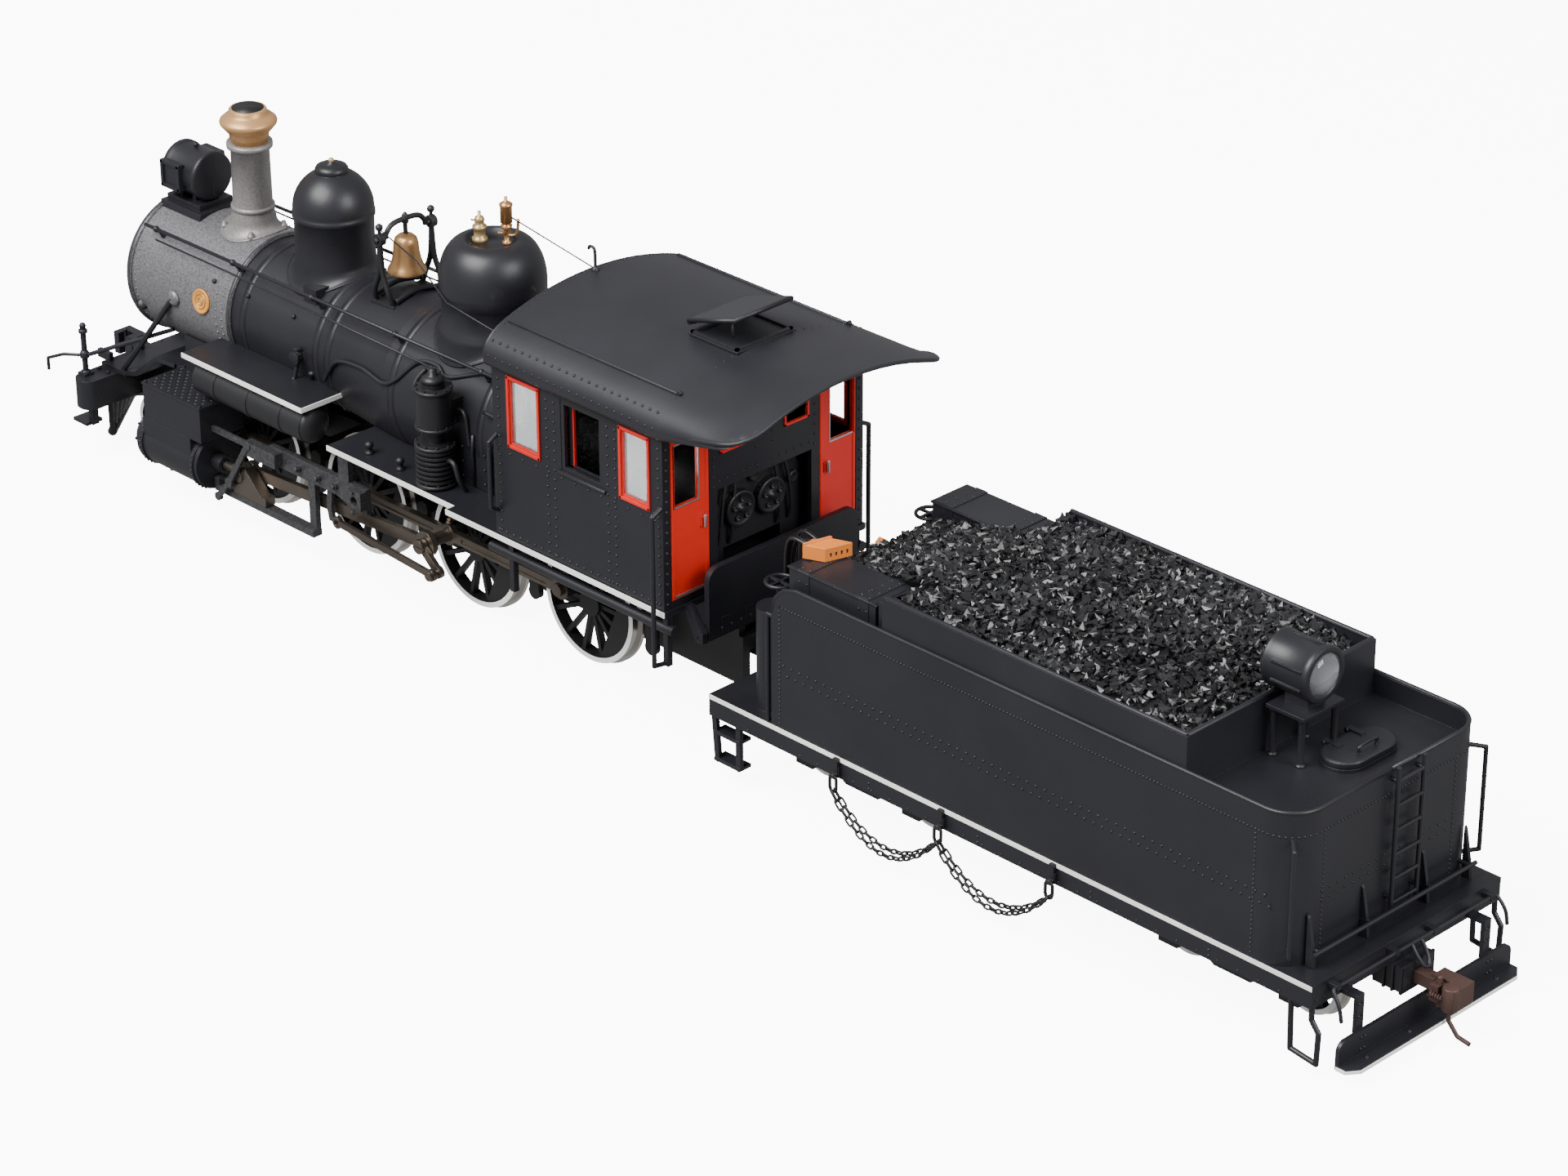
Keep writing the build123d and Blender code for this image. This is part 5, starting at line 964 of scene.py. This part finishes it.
def roof_z(y):
    """Height of the roof's crown line over y."""
    return ROOF_CENTRE_Z + sqrt(ROOF_RADIUS ** 2 - y ** 2)


def roof_skin():
    """Roof sheet whose edges roll down over the cab's sides and taper off behind the cab."""
    full = [(21.2, 71.65), (23.0, 70.9), (24.6, 69.95), (25.8, 68.8), (26.55, 67.5), (26.8, 66.2),
            (26.4, 65.2), (25.4, 64.95)]
    plain = [(21.2, 71.65), (22.2, 71.3), (23.3, 70.9), (24.4, 70.45), (25.3, 70.1), (26.0, 69.75),
             (26.5, 69.45), (26.6, 69.2)]
    skin = Shape(ROOF_BLACK)
    stations = [ROOF_FRONT, 30.9, 20.0, 10.0, 0.0, -13.2, -14.2, -18.0, -22.0, -25.5, -28.9, -30.6,
                -32.2, -33.6, -34.5, ROOF_REAR]
    crown = [(y, roof_z(y)) for y in (0, 3, 6, 9, 12, 15, 18, 20)]
    for under in (0.0, 0.7):
        rows = []
        for x in stations:
            taper = min(1, max(0, (x + 31.0) / 17.0)) ** 0.8
            limit = 27.0 if x >= -28.9 else 20.6 + sqrt(max(0, 36.0 - (x + 28.9) ** 2)) * 6.2 / 6.0
            half = crown + [(a + (c - a) * taper, b + (d - b) * taper)
                            for (a, b), (c, d) in zip(plain, full)]
            half = [(min(y, limit), z if y <= limit else roof_z(limit) - 0.1) for y, z in half]
            row = [(x, -y, z - under) for y, z in half[:0:-1]] + [(x, y, z - under) for y, z in half]
            rows.append(row)
        points = [point for row in rows for point in row]
        skin.add(points, grid(len(rows), len(rows[0]), columns_closed=False), True)
    for low, high in ((-14.3, -13.7), (-3.0, -2.4)):
        skin.box((low, high), (-7.0, 7.0), (73.6, 75.8))
    for low, high in ((-7.0, -6.3), (6.3, 7.0)):
        skin.box((-14.3, -2.4), (low, high), (73.6, 75.8))
    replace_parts(skin.done("roof_sheet", "locomotive"), "cab_roof")


def cab():
    """Rivets, window frames, roof rails and trims of the cab."""
    rivets = Shape(BLACK)
    cove = ((26.6, 66.6, 1.0, 0.1), (25.35, 69.3, 0.75, 0.65))
    for side in (1, -1):
        y = side * CAB_HALF
        for x in (14.4, 16.4, -1.7, 0.3, -12.9, 29.4):
            rivets.rivets((x, y, 31.2), (x, y, EAVE - 1.0), 1.9, (0, side, 0), 0.22)
        rivets.rivets((-12.0, y, 47.6), (30.0, y, 47.6), 3.4, (0, side, 0), 0.2)
        rivets.rivets((-12.0, y, 31.2), (30.0, y, 31.2), 1.9, (0, side, 0), 0.2)
        for reach, z, out, up in cove:
            rivets.rivets((CAB_REAR + 0.8, side * reach, z), (30.2, side * reach, z), 2.0,
                          (0, side * out, up), 0.24)
        for start, end, size in (((24.4, 31.2), (24.4, 66.0), 0.24), ((12.8, 50.6), (12.8, 66.4), 0.2),
                                 ((2.0, 55.0), (2.0, 66.4), 0.2), ((2.0, 66.4), (23.4, 66.4), 0.2),
                                 ((2.0, 51.4), (11.4, 51.4), 0.2)):
            rivets.rivets((CAB_REAR, side * start[0], start[1]), (CAB_REAR, side * end[0], end[1]), 2.0,
                          (-1, 0, 0), size)
    rivets.done("cab_rivets", "locomotive")

    frames = Shape(RED)
    for side in (1, -1):
        for front, rear in (WINDOWS[0], WINDOWS[2]):
            y = (side * 25.25, side * 25.62)
            frames.box((front - 0.05, front + 0.55), y, (SILL, HEAD))
            frames.box((rear - 0.55, rear + 0.05), y, (SILL, HEAD))
            frames.box((front, rear), y, (SILL - 0.05, SILL + 0.55))
            frames.box((front, rear), y, (HEAD - 0.55, HEAD + 0.05))
        for x, inner, outer, low, high in (((CAB_REAR - 0.25, CAB_REAR + 0.3), 4.9, 11.2, 56.6, 62.5),
                                           ((30.9, 31.2), 17.5, 22.8, 50.0, 62.5)):
            frames.box(x, (side * inner, side * (inner + 0.5)), (low, high))
            frames.box(x, (side * (outer - 0.5), side * outer), (low, high))
            frames.box(x, (side * inner, side * outer), (low, low + 0.5))
            frames.box(x, (side * inner, side * outer), (high - 0.5, high))
    frames.done("window_trims", "locomotive", 0.06)

    sash = Shape(BLACK, RED)
    front, rear = WINDOWS[1]
    for side in (1, -1):
        y = (side * 23.3, side * 23.9)
        sash.slot = 0
        sash.box((front + 0.4, front + 1.7), y, (SILL - 0.6, HEAD))
        sash.box((rear - 1.7, rear - 0.4), y, (SILL - 0.6, HEAD))
        sash.box((front + 0.4, rear - 0.4), y, (SILL - 0.6, SILL + 1.0))
        sash.box((front + 0.4, rear - 0.4), y, (HEAD - 1.4, HEAD))
        sash.tube([(front - 0.8, side * 25.4, SILL - 0.4), (rear + 0.8, side * 25.4, SILL - 0.4)], 0.4,
                  8)
        sash.slot = 1
        sash.box((front + 1.7, front + 2.0), y, (SILL + 1.0, HEAD - 1.4))
        sash.box((rear - 2.0, rear - 1.7), y, (SILL + 1.0, HEAD - 1.4))
    sash.done("open_window_sash", "locomotive", 0.06)

    roof = Shape(ROOF_BLACK)
    half = [(ROOF_FRONT, 25.5, 65.2), (0.0, 25.5, 65.2), (-14.0, 25.6, 65.2), (-19.0, 25.9, 66.4),
            (-24.0, 26.2, 67.8), (-28.9, 26.5, 69.0)]
    half += [(-28.9 - 6.0 * sin(radians(a)), 20.6 + 5.9 * cos(radians(a)),
              roof_z(20.6 + 5.9 * cos(radians(a))) - 0.4) for a in range(15, 91, 15)]
    half += [(-34.9, y, roof_z(y) - 0.35) for y in (16, 12, 8, 4, 0)]
    roof.tube(half + [(x, -y, z) for x, y, z in half[-2::-1]], 0.45, 8)
    front = [(ROOF_FRONT, y, roof_z(y) - 0.3) for y in range(-21, 22, 3)]
    side_roll = [(22.8, 70.7), (24.3, 69.8), (25.5, 68.6), (26.2, 67.2), (26.4, 65.9), (25.8, 65.3)]
    right_roll = [(ROOF_FRONT, -y, z) for y, z in side_roll[::-1]]
    left_roll = [(ROOF_FRONT, y, z) for y, z in side_roll]
    roof.tube(right_roll + front + left_roll, 0.42, 8)
    for side in (1, -1):
        rail = [(30.5, side * RAIL_Y, roof_z(RAIL_Y) + 0.15),
                (-14.0, side * RAIL_Y, roof_z(RAIL_Y) + 0.15)]
        roof.tube(rail, 0.34, 8)
        roof.turned([(0.5, -0.3), (0.5, 0.3)], (-14.4, side * RAIL_Y, roof_z(RAIL_Y) + 0.4), (0, 1, 0),
                    12)
    for x in (-14.15, 30.9):
        for y in range(-22, 23, 2):
            roof.rivet((x, y, roof_z(y)), (0, y / ROOF_RADIUS, 1), 0.17)
    roof.tube(smooth_path([(30.2, 0, 74.6), (30.2, 0, 78.6), (30.6, 0, 79.6), (31.6, 0, 79.6),
                           (31.9, 0, 79.0)], 5), 0.32, 8)
    roof.turned([(0.8, 0), (0.7, 0.5), (0.4, 0.9)], (30.2, 0, 75.1), sides=14)
    for y in (-5.0, 5.0):
        roof.tube([(-2.3, y - 1.0, 77.0), (-2.3, y + 1.0, 77.0)], 0.38, 8)
    roof.box((-14.6, -2.1), (-7.3, 7.3), (75.0, 75.35))
    roof.done("roof_lips_and_rails", "locomotive", 0.04)

    lean = radians(17.0)
    lid_rise = Vector((-cos(lean), 0, sin(lean)))
    lid_up = Vector((sin(lean), 0, cos(lean)))
    hinge = Vector((-2.0, 0, 77.2))
    lid = Shape(ROOF_BLACK)
    rim = [hinge + lid_rise * a + lid_up * 0.4 + Vector((0, b, 0))
           for a, b in ((0.3, -7.1), (12.5, -7.1), (12.5, 7.1), (0.3, 7.1))]
    lid.tube(rim, 0.45, 8, closed=True)
    lid.tube([hinge + lid_rise * 10.0 + Vector((0, 5.6, 0)),
              hinge + lid_rise * 10.4 + Vector((0, 5.6, -3.4))], 0.25, 6)
    lid.done("roof_hatch_rim", "roof_hatch")

    for side, hand in ((1, "left"), (-1, "right")):
        # The left door's trims take the lighter red copy: painted light.
        trims = Shape(SILVER, RED_DOOR_PAINTED_LIGHT if side == 1 else RED)
        x = (CAB_REAR - 0.12, CAB_REAR + 0.05)
        for low, high in ((16.4, 16.7), (22.6, 22.9)):
            trims.box(x, (side * low, side * high), (49.6, 62.1))
        for low, high in ((49.5, 49.85), (61.8, 62.1)):
            trims.box(x, (side * 16.4, side * 22.9), (low, high))
        trims.box(x, (side * 14.6, side * 22.8), (31.7, 32.2))
        trims.tube([(CAB_REAR - 0.7, side * 15.6, 44.0), (CAB_REAR - 0.7, side * 15.6, 46.4)], 0.3, 8)
        trims.tube([(CAB_REAR - 0.7, side * 15.6, 45.8), (CAB_REAR, side * 15.6, 45.8)], 0.25, 8)
        trims.slot = 1
        trims.box(x, (side * 14.1, side * 14.9), (31.8, 63.6))
        trims.box(x, (side * 22.5, side * 23.2), (31.8, 63.6))
        trims.done(f"cab_door_trims_{hand}", f"door_{hand}", 0.05)

    backhead = Shape(CAST_BLACK, DEEP_BLACK)
    disc_x, pipe_x = -11.4, -10.6
    for y in (-3.9, 3.9):
        backhead.turned([(3.6, 0), (3.5, 0.5), (3.1, 0.7), (2.9, 0.5), (0.6, 0.5), (0.5, 0.9)],
                        (disc_x, y, 42.5), (-1, 0, 0), 36)
        for i in range(5):
            angle = 2 * pi * i / 5 + pi / 2
            backhead.turned([(0.55, 0.5), (0.55, 0.95), (0.3, 0.95), (0.3, 0.6)],
                            (disc_x, y + 1.9 * cos(angle), 42.5 + 1.9 * sin(angle)), (-1, 0, 0), 12)
    for y in (-9.0, -6.0, 6.0, 9.0):
        backhead.tube(smooth_path([(-10.7, y, 36.0), (-11.6, y, 39.0), (-11.6, y * 0.9, 46.0),
                                   (-10.9, y * 0.7, 51.5)], 6), 0.35, 8)
    backhead.slot = 1
    for y, z in ((-3.0, 51.0), (3.0, 51.0), (0.0, 47.6), (-10.0, 44.0), (10.0, 44.0)):
        backhead.turned([(1.2, 0), (1.2, 0.7), (1.0, 0.9), (0.8, 0.8)], (pipe_x, y, z), (-1, 0, 0), 20)
    backhead.slot = 0
    for y, z in ((-3.0, 51.0), (3.0, 51.0)):
        backhead.turned([(0.85, 0.82), (0.01, 0.86)], (pipe_x, y, z), (-1, 0, 0), 16)
    backhead.done("backhead_fittings", "locomotive")

    steps = Shape(BLACK)
    for side in (1, -1):
        steps.rivets((-19.2, side * 4.0, 25.4), (-19.2, side * 16.0, 25.4), 2.4, (-1, 0, 0), 0.2)
        for y in (9.0, 15.0):
            steps.box((-19.1, -18.95), (side * (y - 0.9), side * (y + 0.9)), (24.2, 27.4))
    steps.done("fall_plate_straps", "fall_plate", 0.04)


# ---------------------------------------------------------------- boards, pump and cylinders
def boards():
    """Pale edges of the running boards, with their brackets."""
    edge = Shape(WHITE_EDGE)
    for side in (1, -1):
        edge.box((-14.4, 45.0), (side * 25.55, side * 25.75), (28.95, 30.05))
        edge.box((44.9, 45.1), (side * 23.5, side * 25.7), (28.95, 30.05))
        edge.box((45.0, 82.0), (side * 23.45, side * 23.65), (28.95, 30.05))
        edge.box((89.3, 126.0), (side * 23.45, side * 23.65), (34.3, 35.35))
        edge.box((89.15, 89.35), (side * 13.2, side * 23.6), (34.3, 35.35))
    edge.done("board_edges", "locomotive", 0.04)
    under = Shape(BLACK)
    for side in (1, -1):
        for x in (-4.0, 12.0, 28.0, 50.0, 68.0):
            under.prism([(side * 12.5, 28.8), (side * 23.0, 28.8), (side * 12.5, 22.0)], 0,
                        (x - 0.35, x + 0.35))
        for x in (94.0, 104.0, 114.0, 124.0):
            under.prism([(side * 13.5, 34.3), (side * 22.5, 34.3), (side * 13.5, 30.0)], 0,
                        (x - 0.3, x + 0.3))
    under.done("board_brackets", "locomotive", 0.03)


def pump_and_tanks():
    """Air pump pipes and bolts, domed tank ends."""
    work = Shape(CAST_BLACK)
    for side in (1, -1):
        for end, way in ((89.7, -1), (123.6, 1)):
            work.turned([(3.75, -0.9), (3.6, 0.1), (2.9, 0.8), (1.6, 1.3), (0.05, 1.45)],
                        (end - way * 0.4, side * 19.8, 30.3), (way, 0, 0), 36)
        work.tube(smooth_path([(122.0, side * 19.8, 27.4), (122.0, side * 17.0, 25.4),
                               (116.0, side * 14.0, 26.0), (98.0, side * 12.5, 26.0)], 6), 0.4, 8)
    for z, radius in ((30.6, 4.0), (38.4, 4.0), (42.2, 3.75), (49.8, 3.75)):
        work.turned([(radius - 0.4, -0.35), (radius, -0.3), (radius, 0.3), (radius - 0.4, 0.35)],
                    (54.5, 19.5, z), sides=40)
        for i in range(10):
            angle = 2 * pi * i / 10
            work.bolt((54.5 + (radius - 0.35) * cos(angle), 19.5 + (radius - 0.35) * sin(angle),
                       z + 0.3), (0, 0, 1), 0.3, 0.4)
    work.turned([(2.3, 51.2), (2.2, 52.0), (1.4, 52.4), (0.8, 52.6), (0.8, 53.6), (0.3, 53.9)],
                (54.5, 19.5, 0), sides=28)
    work.tube(smooth_path([(57.6, 19.5, 47.0), (60.2, 19.2, 47.4), (61.5, 17.5, 48.6),
                           (61.5, 15.2, 50.0)], 6), 0.55)
    work.tube(smooth_path([(51.4, 19.5, 36.0), (49.0, 19.8, 36.0), (48.0, 19.5, 33.0),
                           (48.0, 18.0, 30.2)], 6), 0.5)
    work.tube(smooth_path([(54.5, 16.2, 44.0), (52.0, 15.6, 45.0), (50.0, 15.7, 44.0),
                           (49.0, 15.8, 38.0)], 6), 0.4)
    work.done("pump_and_tank_details", "locomotive")
    fittings = Shape(CAST_BLACK)
    for x, y, z in ((64.0, 20.4, 30.0), (73.5, 20.0, 30.0)):
        fittings.turned([(0.95, 0), (0.95, 0.3), (0.6, 0.5), (0.6, 1.3), (0.85, 1.5), (0.85, 2.1),
                         (0.3, 2.5)], (x, y, z), sides=14)
    fittings.turned([(0.5, 0), (0.5, 1.0), (0.8, 1.1), (0.8, 1.6), (0.2, 1.9)], (98.0, 13.4, 35.3),
                    sides=12)
    fittings.done("board_fittings", "locomotive")


def cylinder_details():
    """Tread plate on the steam chest, bolts and jacket rivets."""
    plate = Shape(BLACK)
    for side in (1, -1):
        plate.box((119.3, 137.7), (side * 14.3, side * 25.2), (25.3, 25.75))
        for row in range(16):
            for column in range(9):
                x = 120.6 + row * 1.07
                y = side * (15.6 + column * 1.06)
                lean = radians(45 if (row + column) % 2 else -45)
                along = Vector((cos(lean), sin(lean), 0)) * 0.42
                wide = Vector((-sin(lean), cos(lean), 0)) * 0.12
                spot = Vector((x, y, 25.75))
                base = [spot - along, spot + wide, spot + along, spot - wide]
                top = [spot + (p - spot) * 0.6 + Vector((0, 0, 0.13)) for p in base]
                plate.add(base + top, [(0, 1, 5, 4), (1, 2, 6, 5), (2, 3, 7, 6), (3, 0, 4, 7),
                                       (4, 5, 6, 7)])
        for x in (120.0, 137.0):
            for y in (14.9, 24.6):
                plate.bolt((x, side * y, 25.75), (0, 0, 1), 0.42, 0.35)
    plate.done("steam_chest_tread", "locomotive", 0.03)
    jacket = Shape(BLACK, GREY_IRON)
    for side in (1, -1):
        for x in (122.4, 138.6):
            for step in range(16):
                angle = radians(-75 + step * 10)
                out = (0, side * cos(angle), sin(angle))
                jacket.rivet((x, side * (19.8 + 6.0 * cos(angle)), 12.0 + 6.0 * sin(angle)), out, 0.2)
        jacket.slot = 1
        jacket.turned([(4.6, 0), (4.6, 0.6), (4.2, 0.9), (1.2, 1.1), (1.0, 1.6), (0.05, 1.7)],
                      (141.0, side * 19.8, 12.0), (1, 0, 0), 40)
        for i in range(10):
            angle = 2 * pi * i / 10
            jacket.bolt((140.8, side * 19.8 + 5.0 * cos(angle), 12.0 + 5.0 * sin(angle)), (1, 0, 0),
                        0.32, 0.5)
        jacket.slot = 0
        for x in (126.0, 136.0):
            jacket.tube([(x, side * 19.8, 6.4), (x, side * 20.4, 5.0)], 0.35, 8)
    jacket.done("cylinder_details", "locomotive")


def rod_details():
    """Oil cups on the side rods, nuts on the hangers."""
    for side, hand, angle in ((1, "left", 22.0), (-1, "right", -68.0)):
        cups = Shape(ROD_STEEL, BRASS)
        for axle in (119.0, 87.0, 55.0, 23.0):
            x, z = axle + 5.6 * cos(radians(angle)), 12.6 + 5.6 * sin(radians(angle))
            cups.slot = 0
            cups.turned([(0.7, 0), (0.7, 0.7), (0.5, 0.9)], (x, side * 12.0, z + 2.0), sides=12)
            cups.slot = 1
            cups.bolt((x, side * 12.0, z + 2.85), (0, 0, 1), 0.4, 0.45)
        cups.done(f"side_rod_cups_{hand}", f"side_rod_{hand}")
    hanger = Shape(GREY_IRON)
    for side in (1, -1):
        for x in (84.0, 89.0, 95.0, 101.0):
            hanger.bolt((x, side * 20.9, 19.6), (0, side, 0), 0.6, 0.5)
        for x, z in ((77.0, 16.9), (77.0, 21.0), (102.5, 19.0), (107.0, 20.6), (112.0, 20.6),
                     (120.0, 20.6)):
            hanger.bolt((x, side * 21.9, z), (0, side, 0), 0.4, 0.45)
    hanger.done("hanger_bolts", "locomotive")


# ---------------------------------------------------------------- front and rear ends
def front_end():
    """Collars of the flag posts, beam bolts and the coupler's knuckle."""
    work = Shape(BLACK)
    for side in (1, -1):
        for z, radius in ((17.9, 1.0), (21.5, 1.0), (27.0, 0.95)):
            work.turned([(radius * 0.7, -0.5), (radius, -0.3), (radius, 0.3), (radius * 0.7, 0.5)],
                        (163.2, side * 20.0, z), sides=18)
        work.turned([(0.6, 27.8), (0.75, 28.2), (0.5, 28.7), (0.05, 28.9)], (163.2, side * 20.0, 0),
                    sides=16)
        work.turned([(0.3, -1.1), (0.85, -0.6), (1.05, 0), (0.85, 0.6), (0.3, 1.1)],
                    (163.2, side * 20.0, 21.9), (0, 0, 1), 16)
        work.turned([(1.2, 0), (1.2, 0.4), (0.7, 0.6)], (151.4, side * 13.2, 34.6),
                    (-0.6, side * 0.5, 0.5), 16)
        work.box((156.6, 160.0), (side * 13.2, side * 15.2), (17.4, 17.9))
        for x in (160.4, 163.3):
            for y in (9.0, 12.0, 16.6):
                work.bolt((x, side * y, 17.45), (0, 0, 1), 0.45, 0.4)
    for y in (-14.0, -7.0, 0.0, 7.0, 14.0):
        work.rivet((163.9, y, 18.25), (0, 0, 1), 0.22)
    work.turned([(0.7, 0), (0.7, 0.4), (0.35, 0.6), (0.35, 6.6), (0.6, 6.8)], (175.2, 0.6, 10.6),
                sides=12)
    work.done("front_beam_details", "locomotive")
    slats = NODES["pilot"]
    slats.data.materials.append(GREY_IRON)
    for face in slats.data.polygons:
        middle = (slats.matrix_world @ face.center) / MM
        if middle.x > 162.6 and middle.z < 11.3 and abs(middle.y) < 15.6:
            face.material_index = 1


def rear_end():
    """Footboard edges, straps, lever loop and the coupler's spring and pin."""
    edge = Shape(WHITE_EDGE)
    for side in (1, -1):
        edge.prism([(-172.1, side * 20.5), (-170.5, side * 22.6), (-170.3, side * 22.5),
                    (-171.9, side * 20.4)], 2, (2.35, 3.0))
        edge.box((-170.5, -168.5), (side * 22.45, side * 22.65), (2.35, 3.0))
    edge.box((-172.15, -171.95), (-20.5, 20.5), (2.35, 3.0))
    edge.done("footboard_edges", "tender", 0.04)
    work = Shape(BLACK)
    for side in (1, -1):
        for z in (4.2, 6.4, 10.0, 12.4):
            for dy in (-0.45, 0.45):
                work.rivet((-169.02 if z < 7 else -168.22, side * (16.5 + dy), z), (-1, 0, 0), 0.24)
        for y in (6.0, 17.0):
            work.rivet((-170.4, side * y, 3.2), (0, 0, 1), 0.35)
        work.rivets((-164.42, side * 4.0, 14.3), (-164.42, side * 23.4, 14.3), 1.9, (-1, 0, 0), 0.2)
    loop = [(-166.2, 1.2, 16.0), (-167.4, 1.2, 14.4), (-168.6, 0.6, 12.6), (-168.6, -0.6, 12.6),
            (-167.4, -1.2, 14.4), (-166.2, -1.2, 16.0)]
    work.tube(smooth_path(loop, 6), 0.35, 8)
    for side in (1, -1):
        work.tube(smooth_path([(-166.0, side * 20.0, 16.0), (-166.2, side * 21.2, 15.8),
                               (-167.8, side * 21.6, 13.6), (-168.4, side * 21.6, 11.0)], 6), 0.35, 8)
    for x in (-166.6, -164.8, -163.0):
        work.box((x - 0.25, x + 0.25), (-4.3, 4.3), (7.8, 13.0))
    work.done("rear_end_fittings", "tender", 0.03)
    knuckle = Shape(RUST)
    knuckle.turned([(1.35, 7.7), (1.5, 8.0), (1.5, 11.8), (1.35, 12.1)], (-175.2, 1.9, 0), sides=28)
    knuckle.turned([(0.5, 7.2), (0.5, 12.8), (0.3, 13.0)], (-172.6, 1.6, 0), sides=14)
    coil = [(-174.4 + 2.6 * i / 60, 3.15 + 0.55 * cos(2 * pi * i / 12),
             10.0 + 0.55 * sin(2 * pi * i / 12)) for i in range(61)]
    knuckle.tube(coil, 0.13, 6)
    knuckle.done("coupler_knuckle_and_spring", "rear_coupler", 0.04)


boiler_dress()
domes()
dome_fittings()
chimney()
front_lamp()
bell()
boiler_lines()
roof_skin()
cab()
boards()
pump_and_tanks()
cylinder_details()
rod_details()
front_end()
rear_end()
tender_body()
coal()
safety_chain()
rear_lamp()
water_hatch()
harness()

# ---------------------------------------------------------------- studio
floor_mesh = bpy.data.meshes.new("floor")
floor_mesh.from_pydata([(-9, -9, 0), (9, -9, 0), (9, 9, 0), (-9, 9, 0)], [], [(0, 1, 2, 3)])
floor = bpy.data.objects.new("floor", floor_mesh)
floor.location.z = -0.0002
bpy.context.collection.objects.link(floor)
pale = material("pale_floor", (0.9, 0.9, 0.9), 0.9, second=(0.9, 0.9, 0.9), edge=0)
pale.node_tree.nodes["Principled BSDF"].inputs["Emission Color"].default_value = (1, 1, 1, 1)
pale.node_tree.nodes["Principled BSDF"].inputs["Emission Strength"].default_value = 9.0
floor_mesh.materials.append(pale)
floor.visible_diffuse = False
floor.visible_glossy = False
floor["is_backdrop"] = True

world = bpy.data.worlds.new("studio")
world.use_nodes = True
world.node_tree.nodes["Background"].inputs["Color"].default_value = (1, 1, 1, 1)
world.node_tree.nodes["Background"].inputs["Strength"].default_value = 0.42
bpy.context.scene.world = world


def area_light(name, spot, target, size, power):
    """Soft rectangular light aimed at a point."""
    lamp = bpy.data.lights.new(name, "AREA")
    lamp.shape = "RECTANGLE"
    lamp.size, lamp.size_y = size
    lamp.energy = power
    lit = bpy.data.objects.new(name, lamp)
    lit.location = spot
    lit.rotation_euler = (Vector(target) - Vector(spot)).to_track_quat("-Z", "Y").to_euler()
    bpy.context.collection.objects.link(lit)
    lit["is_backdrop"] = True


area_light("key", (0.15, 0.75, 0.95), (0.0, 0, 0.04), (0.9, 0.7), 30)
area_light("rear_fill", (-0.9, -0.1, 0.55), (-0.1, 0, 0.04), (0.5, 0.5), 8)

camera = bpy.data.cameras.new("camera")
camera.sensor_width = 36
camera.lens = 112.2
camera.clip_start = 0.05
view = bpy.data.objects.new("camera", camera)
right = Vector((-0.7033, -0.7109, -0.0032))
up = Vector((0.3243, -0.3248, 0.8884))
forward = Vector((0.6326, -0.6238, -0.4590))
turn = Matrix((right, up, -forward)).transposed()
view.rotation_euler = turn.to_euler()
view.location = Vector((-581.0, 554.3, 435.3)) * MM
bpy.context.collection.objects.link(view)
bpy.context.scene.camera = view

low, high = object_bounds()
